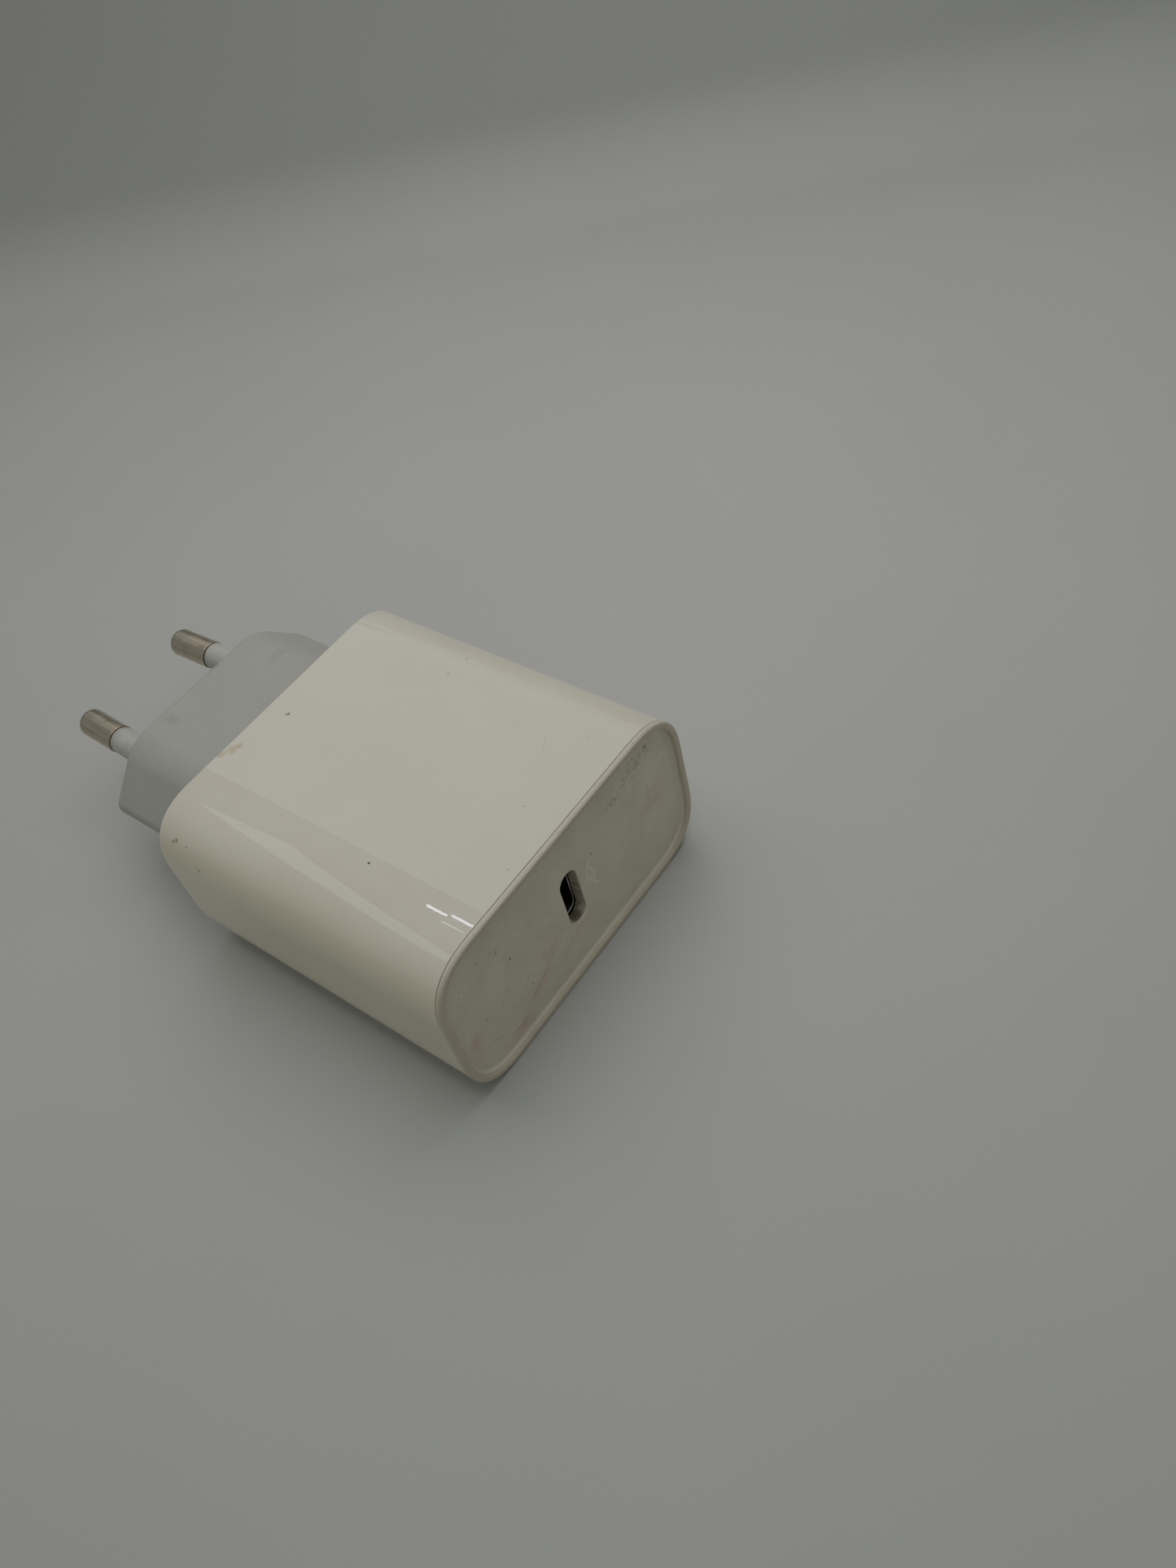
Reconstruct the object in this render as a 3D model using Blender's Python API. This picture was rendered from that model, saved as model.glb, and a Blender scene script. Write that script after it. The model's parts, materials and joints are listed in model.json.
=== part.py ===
"""Wall charger with one USB-C port and two fixed round mains pins.

The charger lies on its broad face.  X runs across its width, Y runs from the
port (-Y) to the pin tips (+Y), Z is up.  The origin is under the middle of the
whole charger, on the surface it lies on.
"""
import math

import bmesh
import bpy
from mathutils import Vector

MM = 0.001

# Outer case
CASE_WIDTH = 44.2 * MM
CASE_HEIGHT = 23.6 * MM
CASE_LENGTH = 45.0 * MM
CASE_CORNER = 8.2 * MM
CORNER_POWER = 2.6
CASE_WALL = 2.0 * MM
CORNER_STEPS = 8

# Mains plug: body and round pins of a two-pin 2.5 A plug
PLUG_REACH = 18.4 * MM
PLUG_HEIGHT = 13.7 * MM
PLUG_SHOULDER_X = 11.5 * MM
PLUG_SHOULDER_RADIUS = 6.0 * MM
PLUG_TIP_RADIUS = 1.6 * MM
PLUG_WALL = 2.0 * MM
PLUG_NOSE = 8.0 * MM
PLUG_EDGE_ROUND = 0.9 * MM
PLUG_LEAST_RADIUS = 0.2 * MM
PIN_LENGTH = 17.0 * MM
PIN_DIAMETER = 4.0 * MM
PIN_NECK_DIAMETER = 2.9 * MM
PIN_TAIL = 13.0 * MM
PIN_END_ROUND = 1.0 * MM
PIN_SPACING_FACE = 18.6 * MM
PIN_SPACING_TIPS = 17.5 * MM
SLEEVE_DIAMETER = 3.8 * MM
SLEEVE_LENGTH = 9.3 * MM
SLEEVE_ROOT = 3.0 * MM
ROUND_STEPS = 20

# Joints between the case parts
FIT_GAP = 0.3 * MM
CLOSE_GAP = 0.12 * MM
RIM_WIDTH = 0.95 * MM
RIM_DEPTH = 0.65 * MM
RIM_EDGE = 0.25 * MM
PANEL_RECESS = 0.75 * MM
PANEL_THICKNESS = 1.6 * MM
LIP_THICKNESS = 0.4 * MM
LAP_END = PANEL_RECESS + PANEL_THICKNESS + FIT_GAP
SKIRT_WALL = 1.1 * MM
SKIRT_LENGTH = 3.6 * MM
REAR_RECESS = 0.5 * MM
REAR_THICKNESS = 2.0 * MM

# USB-C socket, standing with its long side along Z
PORT_HOLE_WIDTH = 2.95 * MM
PORT_HOLE_HEIGHT = 8.7 * MM
SOCKET_WIDTH = 3.26 * MM
SOCKET_HEIGHT = 8.94 * MM
SOCKET_WALL = 0.3 * MM
SOCKET_LENGTH = 7.35 * MM
TONGUE_THICKNESS = 0.7 * MM
TONGUE_HEIGHT = 6.7 * MM
TONGUE_LENGTH = 4.6 * MM
INSULATOR_LENGTH = 1.8 * MM
SOCKET_SETBACK = 0.2 * MM
SLOT_FLAT = 0.01 * MM

# Circuit boards
BOARD_THICKNESS = 1.2 * MM
BOARD_WIDTH = 36.0 * MM
BOARD_FRONT = 4.2 * MM
BOARD_LENGTH = 37.2 * MM
BOARD_UNDERSIDE = 5.0 * MM
USB_BOARD_THICKNESS = 1.0 * MM
USB_BOARD_LENGTH = 9.4 * MM
USB_BOARD_HEIGHT = 12.4 * MM
USB_BOARD_FRONT = 3.4 * MM

# Derived levels
TOTAL_LENGTH = CASE_LENGTH + PLUG_REACH + PIN_LENGTH
FRONT_Y = -TOTAL_LENGTH / 2
MID_Z = CASE_HEIGHT / 2
BOARD_TOP = BOARD_UNDERSIDE + BOARD_THICKNESS
SEAT_Z = BOARD_TOP + FIT_GAP
PLUG_FACE_Y = FRONT_Y + CASE_LENGTH + PLUG_REACH
SOCKET_FRONT = PANEL_RECESS + PANEL_THICKNESS + SOCKET_SETBACK
SKIRT_OUTER_DROP = CASE_WALL + FIT_GAP
SKIRT_INNER_DROP = SKIRT_OUTER_DROP + SKIRT_WALL

# Colour, roughness and metallic value of each finish
FINISHES = {
    "gloss_case": ((0.86, 0.84, 0.80), 0.12, 0.0),
    "matte_cover": ((0.70, 0.69, 0.65), 0.55, 0.0),
    "plug_grey": ((0.66, 0.68, 0.68), 0.50, 0.0),
    "pin_sleeve": ((0.78, 0.79, 0.78), 0.45, 0.0),
    "nickel": ((0.62, 0.58, 0.52), 0.22, 1.0),
    "spring_bronze": ((0.72, 0.50, 0.28), 0.30, 1.0),
    "socket_steel": ((0.66, 0.66, 0.66), 0.30, 1.0),
    "socket_black": ((0.02, 0.02, 0.02), 0.50, 0.0),
    "board_green": ((0.03, 0.16, 0.07), 0.40, 0.0),
    "chip_black": ((0.02, 0.02, 0.022), 0.55, 0.0),
    "fuse_black": ((0.03, 0.03, 0.03), 0.45, 0.0),
    "thermistor_green": ((0.05, 0.16, 0.10), 0.45, 0.0),
    "film_yellow": ((0.85, 0.62, 0.10), 0.45, 0.0),
    "disc_blue": ((0.05, 0.20, 0.52), 0.45, 0.0),
    "can_sleeve": ((0.06, 0.10, 0.16), 0.35, 0.0),
    "polymer_can": ((0.75, 0.75, 0.76), 0.30, 1.0),
    "ferrite": ((0.07, 0.07, 0.075), 0.60, 0.0),
    "bobbin_black": ((0.03, 0.03, 0.03), 0.50, 0.0),
    "winding_tape": ((0.80, 0.58, 0.08), 0.35, 0.0),
    "copper_wire": ((0.72, 0.33, 0.16), 0.30, 1.0),
    "spreader_metal": ((0.78, 0.78, 0.80), 0.35, 1.0),
    "pad_grey": ((0.45, 0.50, 0.55), 0.85, 0.0),
    "barrier_film": ((0.10, 0.10, 0.10), 0.40, 0.0),
}


# ---------------------------------------------------------------- helpers

def clear_scene():
    for obj in list(bpy.data.objects):
        bpy.data.objects.remove(obj, do_unlink=True)


def finish_material(finish):
    material = bpy.data.materials.get(finish)
    if material:
        return material
    colour, roughness, metallic = FINISHES[finish]
    material = bpy.data.materials.new(finish)
    material.use_nodes = True
    shader = material.node_tree.nodes["Principled BSDF"]
    shader.inputs["Base Color"].default_value = (*colour, 1.0)
    shader.inputs["Roughness"].default_value = roughness
    shader.inputs["Metallic"].default_value = metallic
    return material


def make_object(name, shape, finish=None):
    """Turn a bmesh into an object; a cutter has no finish and stays out of the model."""
    bmesh.ops.recalc_face_normals(shape, faces=shape.faces)
    mesh = bpy.data.meshes.new(name)
    shape.to_mesh(mesh)
    shape.free()
    obj = bpy.data.objects.new(name, mesh)
    bpy.context.scene.collection.objects.link(obj)
    if finish:
        mesh.materials.append(finish_material(finish))
        mesh.shade_smooth()
        mesh.set_sharp_from_angle(angle=math.radians(35))
    else:
        obj.hide_render = True
        obj.display_type = "WIRE"
    return obj


def boolean(target, tool, operation):
    modifier = target.modifiers.new(tool.name, "BOOLEAN")
    modifier.operation = operation
    modifier.object = tool
    return modifier


def bevel(obj, width, segments=2):
    modifier = obj.modifiers.new("edge_round", "BEVEL")
    modifier.width = width
    modifier.segments = segments
    modifier.limit_method = "ANGLE"
    modifier.angle_limit = math.radians(40)
    return modifier


def rounded_outline(corners, steps=CORNER_STEPS):
    """Outline in the XZ plane from (x, z, radius) corners, each replaced by an arc."""
    outline = []
    count = len(corners)
    for index, (x, z, radius) in enumerate(corners):
        corner = Vector((x, z))
        before = (Vector(corners[index - 1][:2]) - corner).normalized()
        after = (Vector(corners[(index + 1) % count][:2]) - corner).normalized()
        half_angle = before.angle(after) / 2
        bisector = (before + after).normalized()
        centre = corner + bisector * radius / math.sin(half_angle)
        start = corner + before * radius / math.tan(half_angle) - centre
        sweep = math.pi - 2 * half_angle
        turn = 1 if before.x * after.y - before.y * after.x < 0 else -1
        for step in range(steps + 1):
            angle = turn * sweep * step / steps
            cos_a, sin_a = math.cos(angle), math.sin(angle)
            point = Vector((start.x * cos_a - start.y * sin_a, start.x * sin_a + start.y * cos_a))
            outline.append(centre + point)
    return outline


def rectangle(width, height, radius):
    right, top = width / 2, height / 2
    corners = [(right, MID_Z - top, radius), (right, MID_Z + top, radius),
               (-right, MID_Z + top, radius), (-right, MID_Z - top, radius)]
    return rounded_outline(corners)


def case_outline(drop):
    """The case's outline moved inwards by drop; the flats flow into superellipse corners."""
    reach = CASE_CORNER - drop
    flat_x = CASE_WIDTH / 2 - CASE_CORNER
    flat_z = CASE_HEIGHT / 2 - CASE_CORNER
    quarter = []
    for step in range(CORNER_STEPS + 1):
        angle = math.pi / 2 * step / CORNER_STEPS
        across = abs(math.cos(angle)) ** (2 / CORNER_POWER)
        up = abs(math.sin(angle)) ** (2 / CORNER_POWER)
        quarter.append((flat_x + reach * across, flat_z + reach * up))
    outline = []
    for side_x, side_z, run in ((1, 1, quarter), (-1, 1, quarter[::-1]),
                                (-1, -1, quarter), (1, -1, quarter[::-1])):
        outline += [Vector((side_x * x, MID_Z + side_z * z)) for x, z in run]
    return outline


def slot_outline(width, height):
    return rectangle(width, height, width / 2 - SLOT_FLAT)


def plug_outline(drop):
    """The six-sided plug outline with 45 degree flanks, moved inwards by drop."""
    half = PLUG_HEIGHT / 2
    top = half - drop
    shoulder = PLUG_SHOULDER_X - drop * math.tan(math.radians(22.5))
    tip = PLUG_SHOULDER_X + half - drop * math.sqrt(2)
    soft = PLUG_SHOULDER_RADIUS - drop
    sharp = max(PLUG_TIP_RADIUS - drop, PLUG_LEAST_RADIUS)
    corners = [(tip, MID_Z, sharp), (shoulder, MID_Z + top, soft), (-shoulder, MID_Z + top, soft),
               (-tip, MID_Z, sharp), (-shoulder, MID_Z - top, soft), (shoulder, MID_Z - top, soft)]
    return rounded_outline(corners)


def loft(name, sections, finish=None, closed=False):
    """Skin through (outline, distance from the front) sections, capped or joined in a ring."""
    shape = bmesh.new()
    loops = []
    for outline, distance in sections:
        loops.append([shape.verts.new((point.x, FRONT_Y + distance, point.y)) for point in outline])
    count = len(loops[0])
    pairs = list(zip(loops, loops[1:]))
    if closed:
        pairs.append((loops[-1], loops[0]))
    for near, far in pairs:
        for index in range(count):
            following = (index + 1) % count
            shape.faces.new((near[index], near[following], far[following], far[index]))
    if not closed:
        shape.faces.new(loops[0])
        shape.faces.new(loops[-1])
    return make_object(name, shape, finish)


def block(name, low, high, finish=None):
    """Box between two corners, each (x, distance from the front, z)."""
    shape = bmesh.new()
    bmesh.ops.create_cube(shape, size=1.0)
    for vert in shape.verts:
        for axis in range(3):
            middle = (low[axis] + high[axis]) / 2
            vert.co[axis] = middle + vert.co[axis] * (high[axis] - low[axis])
        vert.co.y += FRONT_Y
    return make_object(name, shape, finish)


def seated_block(name, centre, size, finish, base=SEAT_Z):
    """Box part standing on the board, its centre given as (x, distance from the front)."""
    low = (centre[0] - size[0] / 2, centre[1] - size[1] / 2, base)
    high = (centre[0] + size[0] / 2, centre[1] + size[1] / 2, base + size[2])
    return block(name, low, high, finish)


def turned(name, profile, finish=None, steps=ROUND_STEPS):
    """Body of revolution about its local Y axis from (radius, y) points, ends on the axis or ringed."""
    shape = bmesh.new()
    rings = []
    for radius, along in profile:
        if radius == 0:
            rings.append([shape.verts.new((0, along, 0))])
            continue
        ring = []
        for step in range(steps):
            angle = 2 * math.pi * step / steps
            ring.append(shape.verts.new((radius * math.cos(angle), along, radius * math.sin(angle))))
        rings.append(ring)
    pairs = list(zip(rings, rings[1:]))
    if len(rings[0]) > 1:
        pairs.append((rings[-1], rings[0]))
    for near, far in pairs:
        for step in range(steps):
            following = (step + 1) % steps
            loop = [near[step % len(near)], near[following % len(near)],
                    far[following % len(far)], far[step % len(far)]]
            unique = list(dict.fromkeys(loop))
            shape.faces.new(unique)
    return make_object(name, shape, finish)


def stand_up(obj, centre, base=SEAT_Z):
    """Turn a body of revolution so that it stands on the board."""
    obj.rotation_euler = (math.pi / 2, 0, 0)
    obj.location = (centre[0], FRONT_Y + centre[1], base)
    return obj


# ---------------------------------------------------------------- case

def make_case():
    lap = case_outline(LIP_THICKNESS)
    bore = case_outline(CASE_WALL)
    outside = case_outline(0)
    front = RIM_DEPTH + CLOSE_GAP
    sections = [(outside, front), (outside, CASE_LENGTH), (bore, CASE_LENGTH), (bore, LAP_END),
                (lap, LAP_END), (lap, front)]
    loft("main_shell", sections, "gloss_case", closed=True)


def make_front_cover():
    panel_back = PANEL_RECESS + PANEL_THICKNESS
    skirt_end = panel_back + SKIRT_LENGTH
    lap = LIP_THICKNESS + CLOSE_GAP
    sections = [
        (case_outline(RIM_WIDTH), PANEL_RECESS), (case_outline(RIM_WIDTH), RIM_EDGE),
        (case_outline(RIM_WIDTH - RIM_EDGE), 0), (case_outline(RIM_EDGE), 0),
        (case_outline(0), RIM_EDGE), (case_outline(0), RIM_DEPTH),
        (case_outline(lap), RIM_DEPTH), (case_outline(lap), panel_back),
        (case_outline(SKIRT_OUTER_DROP), panel_back), (case_outline(SKIRT_OUTER_DROP), skirt_end),
        (case_outline(SKIRT_INNER_DROP), skirt_end), (case_outline(SKIRT_INNER_DROP), panel_back)]
    cover = loft("front_cover", sections, "matte_cover")
    hole = slot_outline(PORT_HOLE_WIDTH, PORT_HOLE_HEIGHT)
    slot = loft("port_hole_cutter", [(hole, 0), (hole, skirt_end)])
    boolean(cover, slot, "DIFFERENCE")


def make_plug_housing():
    panel_face = CASE_LENGTH - REAR_RECESS
    panel_inside = panel_face - REAR_THICKNESS
    skirt_end = panel_inside - SKIRT_LENGTH
    face = CASE_LENGTH + PLUG_REACH
    outer = case_outline(SKIRT_OUTER_DROP)
    inner = case_outline(SKIRT_INNER_DROP)
    housing = loft("plug_housing", [(outer, panel_face), (outer, skirt_end), (inner, skirt_end),
                                    (inner, panel_inside)], "plug_grey")

    sections = [(plug_outline(0), panel_inside + REAR_THICKNESS / 2)]
    round_steps = 3
    for step in range(round_steps + 1):
        angle = math.pi / 2 * step / round_steps
        drop = PLUG_EDGE_ROUND * (1 - math.cos(angle))
        back = PLUG_EDGE_ROUND * (1 - math.sin(angle))
        sections.append((plug_outline(drop), face - back))
    body = loft("plug_body_tool", sections)
    boolean(housing, body, "UNION")

    hollow = plug_outline(PLUG_WALL)
    cavity = loft("plug_cavity_cutter", [(hollow, skirt_end), (hollow, face - PLUG_NOSE)])
    boolean(housing, cavity, "DIFFERENCE")
    return housing


# ---------------------------------------------------------------- mains pins

def place_on_pin_axis(obj, side):
    """Put a turned part on its pin's axis, which leans in towards the other pin's tip."""
    lean = math.atan((PIN_SPACING_FACE - PIN_SPACING_TIPS) / 2 / PIN_LENGTH)
    obj.location = (side * PIN_SPACING_FACE / 2, PLUG_FACE_Y, MID_Z)
    obj.rotation_euler = (0, 0, side * lean)
    return obj


def make_pins(housing):
    neck = PIN_NECK_DIAMETER / 2
    tip = PIN_DIAMETER / 2
    shoulder = SLEEVE_LENGTH + CLOSE_GAP
    bore = neck + CLOSE_GAP
    pin_profile = [(0, -PIN_TAIL), (neck, -PIN_TAIL), (neck, shoulder), (tip, shoulder)]
    end_steps = 3
    for step in range(end_steps + 1):
        angle = math.pi / 2 * step / end_steps
        radius = tip - PIN_END_ROUND * (1 - math.cos(angle))
        pin_profile.append((radius, PIN_LENGTH - PIN_END_ROUND * (1 - math.sin(angle))))
    pin_profile.append((0, PIN_LENGTH))
    sleeve_profile = [(SLEEVE_DIAMETER / 2, -SLEEVE_ROOT), (SLEEVE_DIAMETER / 2, SLEEVE_LENGTH),
                      (bore, SLEEVE_LENGTH), (bore, -SLEEVE_ROOT)]
    # The hole in the plug: wide for the sleeve's root, narrow for the pin's neck
    wide = SLEEVE_DIAMETER / 2 + 2 * CLOSE_GAP
    seat = -SLEEVE_ROOT - CLOSE_GAP
    hole_profile = [(0, -PIN_TAIL), (bore, -PIN_TAIL), (bore, seat), (wide, seat),
                    (wide, PIN_END_ROUND), (0, PIN_END_ROUND)]
    for side, word in ((-1, "left"), (1, "right")):
        place_on_pin_axis(turned("mains_pin_" + word, pin_profile, "nickel"), side)
        place_on_pin_axis(turned("pin_sleeve_" + word, sleeve_profile, "pin_sleeve"), side)
        hole = place_on_pin_axis(turned("pin_hole_cutter_" + word, hole_profile), side)
        boolean(housing, hole, "DIFFERENCE")
        make_pin_contact(side, word)


def make_pin_contact(side, word):
    """Spring strip from the board to the underside of the pin's tail."""
    strip = 0.4 * MM
    half_width = 1.5 * MM
    overlap = 1.2 * MM
    sideways = 0.3 * MM
    foot = 38.0 * MM
    riser = 40.0 * MM
    reach = CASE_LENGTH + PLUG_REACH - PIN_TAIL + overlap
    top = MID_Z - PIN_NECK_DIAMETER / 2 - FIT_GAP
    outline = [(foot, SEAT_Z), (riser, SEAT_Z), (riser, top - strip), (reach, top - strip),
               (reach, top), (riser - strip, top), (riser - strip, SEAT_Z + strip),
               (foot, SEAT_Z + strip)]
    centre_x = side * (PIN_SPACING_FACE / 2 + sideways)
    shape = bmesh.new()
    near, far = [[shape.verts.new((centre_x + offset, FRONT_Y + distance, height))
                  for distance, height in outline] for offset in (-half_width, half_width)]
    shape.faces.new(near)
    shape.faces.new(far)
    for index in range(len(outline)):
        following = (index + 1) % len(outline)
        shape.faces.new((near[index], near[following], far[following], far[index]))
    make_object("pin_contact_" + word, shape, "spring_bronze")


# ---------------------------------------------------------------- USB-C socket

def make_socket():
    back = SOCKET_FRONT + SOCKET_LENGTH
    outside = slot_outline(SOCKET_WIDTH, SOCKET_HEIGHT)
    bore_width = SOCKET_WIDTH - 2 * SOCKET_WALL
    bore_height = SOCKET_HEIGHT - 2 * SOCKET_WALL
    bore = slot_outline(bore_width, bore_height)
    loft("usb_socket_shell", [(outside, SOCKET_FRONT), (outside, back), (bore, back),
                              (bore, SOCKET_FRONT)], "socket_steel", closed=True)

    base = slot_outline(bore_width - 2 * CLOSE_GAP, bore_height - 2 * CLOSE_GAP)
    base_front = back - INSULATOR_LENGTH
    insulator = loft("usb_socket_tongue", [(base, base_front), (base, back)], "socket_black")
    low = (-TONGUE_THICKNESS / 2, base_front - TONGUE_LENGTH, MID_Z - TONGUE_HEIGHT / 2)
    high = (TONGUE_THICKNESS / 2, back - INSULATOR_LENGTH / 2, MID_Z + TONGUE_HEIGHT / 2)
    boolean(insulator, block("tongue_tool", low, high), "UNION")


# ---------------------------------------------------------------- boards

def make_boards():
    low = (-BOARD_WIDTH / 2, BOARD_FRONT, BOARD_UNDERSIDE)
    high = (BOARD_WIDTH / 2, BOARD_FRONT + BOARD_LENGTH, BOARD_TOP)
    block("main_board", low, high, "board_green")

    left = SOCKET_WIDTH / 2 + FIT_GAP
    low = (left, USB_BOARD_FRONT, SEAT_Z)
    high = (left + USB_BOARD_THICKNESS, USB_BOARD_FRONT + USB_BOARD_LENGTH, SEAT_Z + USB_BOARD_HEIGHT)
    block("usb_board", low, high, "board_green")

    chip, chip_thickness = 4.0 * MM, 0.9 * MM
    chip_left = high[0] + CLOSE_GAP
    chip_front = 7.0 * MM
    low = (chip_left, chip_front, MID_Z - chip / 2)
    high = (chip_left + chip_thickness, chip_front + chip, MID_Z + chip / 2)
    block("port_controller_chip", low, high, "chip_black")


# ---------------------------------------------------------------- transformer

def make_transformer():
    """Two E-shaped core halves closed round a wound bobbin with a vertical axis."""
    centre = (8.0 * MM, 22.2 * MM)
    width, depth, height = 18.0 * MM, 15.4 * MM, 13.6 * MM
    plate = 2.6 * MM
    leg = 2.4 * MM
    post = 3.0 * MM
    core_depth = 10.0 * MM
    middle = SEAT_Z + height / 2
    axis = (centre[0], FRONT_Y + centre[1])

    for word, direction in (("lower", -1), ("upper", 1)):
        outer_z = middle + direction * height / 2
        inner_z = outer_z - direction * plate
        joint_z = middle + direction * CLOSE_GAP / 2
        overlap_z = inner_z + direction * plate / 2

        def core_box(name, x_low, x_high, z_a, z_b, finish=None):
            low = (centre[0] + x_low, centre[1] - core_depth / 2, min(z_a, z_b))
            high = (centre[0] + x_high, centre[1] + core_depth / 2, max(z_a, z_b))
            return block(name, low, high, finish)

        core = core_box("transformer_core_" + word, -width / 2, width / 2, outer_z, inner_z, "ferrite")
        for side_word, x_low in (("a", -width / 2), ("b", width / 2 - leg)):
            tool = core_box("leg_tool_%s_%s" % (word, side_word), x_low, x_low + leg,
                            overlap_z, joint_z)
            boolean(core, tool, "UNION")
        post_low, post_high = sorted((overlap_z, joint_z))
        tool = turned("post_tool_" + word, [(0, 0), (post, 0), (post, post_high - post_low),
                                            (0, post_high - post_low)])
        tool.rotation_euler = (math.pi / 2, 0, 0)
        tool.location = (*axis, post_low)
        boolean(core, tool, "UNION")

    tube_inner = post + FIT_GAP
    tube_outer = tube_inner + 0.7 * MM
    flange = depth / 2
    side_room = width / 2 - leg - FIT_GAP
    half = height / 2 - plate - FIT_GAP
    flange_thickness = 0.8 * MM
    wall = half - flange_thickness
    reach = min(flange, side_room)
    profile = [(tube_inner, -half), (reach, -half), (reach, -wall), (tube_outer, -wall),
               (tube_outer, wall), (reach, wall), (reach, half), (tube_inner, half)]
    bobbin = turned("transformer_bobbin", profile, "bobbin_black")
    winding = turned("transformer_winding",
                     [(tube_outer + CLOSE_GAP, CLOSE_GAP - wall), (reach - CLOSE_GAP, CLOSE_GAP - wall),
                      (reach - CLOSE_GAP, wall - CLOSE_GAP), (tube_outer + CLOSE_GAP, wall - CLOSE_GAP)],
                     "winding_tape")
    for obj in (bobbin, winding):
        stand_up(obj, centre, middle)


# ---------------------------------------------------------------- parts on the board

def make_can(name, centre, radius, height, finish):
    """Electrolytic can standing on its rubber seal, with the rolled groove near its foot."""
    groove_low, groove_high = 1.2 * MM, 2.0 * MM
    groove = 0.35 * MM
    edge = 0.4 * MM
    profile = [(0, 0), (radius - edge, 0), (radius, edge), (radius, groove_low),
               (radius - groove, (groove_low + groove_high) / 2), (radius, groove_high),
               (radius, height - edge), (radius - edge, height), (0, height)]
    stand_up(turned(name, profile, finish), centre)


def make_disc(name, centre, radius, thickness, finish):
    """Dipped disc part standing on its edge, its axis along Y."""
    edge = thickness * 0.3
    profile = [(0, -thickness / 2), (radius - edge, -thickness / 2), (radius, 0),
               (radius - edge, thickness / 2), (0, thickness / 2)]
    disc = turned(name, profile, finish)
    disc.location = (centre[0], FRONT_Y + centre[1], SEAT_Z + radius)


def make_choke():
    """Drum core with its winding, standing on the board."""
    centre = (-14.2 * MM, 33.9 * MM)
    rim, waist, height, cheek = 3.5 * MM, 1.7 * MM, 9.0 * MM, 1.2 * MM
    core = turned("choke_core", [(0, 0), (rim, 0), (rim, cheek), (waist, cheek), (waist, height - cheek),
                                 (rim, height - cheek), (rim, height), (0, height)], "ferrite")
    low, high = cheek + CLOSE_GAP, height - cheek - CLOSE_GAP
    coil_inner, coil_outer = waist + CLOSE_GAP, rim - 0.25 * MM
    coil = turned("choke_winding", [(coil_inner, low), (coil_outer, low), (coil_outer, high),
                                    (coil_inner, high)], "copper_wire")
    for obj in (core, coil):
        stand_up(obj, centre)


def make_board_parts():
    make_can("bulk_capacitor_front", (-13.4 * MM, 14.6 * MM), 5.0 * MM, 13.4 * MM, "can_sleeve")
    make_can("bulk_capacitor_rear", (-13.4 * MM, 25.2 * MM), 5.0 * MM, 13.4 * MM, "can_sleeve")
    make_can("output_capacitor_inner", (8.6 * MM, 9.8 * MM), 3.15 * MM, 10.5 * MM, "polymer_can")
    make_can("output_capacitor_outer", (15.4 * MM, 9.8 * MM), 3.15 * MM, 10.5 * MM, "polymer_can")
    make_disc("inrush_thermistor", (-2.6 * MM, 33.2 * MM), 4.0 * MM, 3.4 * MM, "thermistor_green")
    make_disc("safety_capacitor", (-4.9 * MM, 18.4 * MM), 3.3 * MM, 3.2 * MM, "disc_blue")
    make_choke()

    film = seated_block("input_film_capacitor", (10.2 * MM, 32.9 * MM),
                        (13.0 * MM, 5.2 * MM, 11.0 * MM), "film_yellow")
    bevel(film, 0.5 * MM)
    fuse = seated_block("mains_fuse", (0.6 * MM, 38.2 * MM), (8.2 * MM, 3.8 * MM, 7.6 * MM),
                        "fuse_black")
    bevel(fuse, 0.4 * MM)
    bridge = seated_block("bridge_rectifier", (-4.9 * MM, 26.2 * MM),
                          (5.0 * MM, 6.6 * MM, 2.4 * MM), "chip_black")
    bevel(bridge, 0.25 * MM, 1)

    under = BOARD_UNDERSIDE - FIT_GAP
    for name, centre, size in (
            ("switching_controller_chip", (-4.0 * MM, 24.0 * MM), (6.0 * MM, 8.0 * MM, 1.0 * MM)),
            ("output_rectifier_chip", (9.0 * MM, 11.0 * MM), (5.0 * MM, 6.0 * MM, 1.1 * MM)),
            ("feedback_optocoupler", (-3.5 * MM, 12.4 * MM), (4.6 * MM, 6.6 * MM, 2.0 * MM))):
        chip = seated_block(name, centre, size, "chip_black", under - size[2])
        bevel(chip, 0.15 * MM, 1)

    spreader_base = CASE_WALL + FIT_GAP
    spreader = seated_block("heat_spreader", (0.0, 25.0 * MM), (26.0 * MM, 16.0 * MM, 0.5 * MM),
                            "spreader_metal", spreader_base)
    bevel(spreader, 0.1 * MM, 1)
    pad_base = spreader_base + 0.5 * MM + CLOSE_GAP
    seated_block("thermal_pad", (-4.0 * MM, 24.0 * MM), (9.0 * MM, 10.0 * MM, 0.6 * MM),
                 "pad_grey", pad_base)
    seated_block("insulation_barrier", (5.4 * MM, 13.6 * MM), (26.0 * MM, 0.4 * MM, 13.0 * MM),
                 "barrier_film")


clear_scene()
make_case()
make_front_cover()
plug_housing = make_plug_housing()
make_pins(plug_housing)
make_socket()
make_boards()
make_transformer()
make_board_parts()
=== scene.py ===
"""Looks of a white wall charger: one USB-C port in front, a fixed two-pin mains plug behind."""
import json
import math

import bmesh
import bpy
from mathutils import Matrix, Vector

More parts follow.
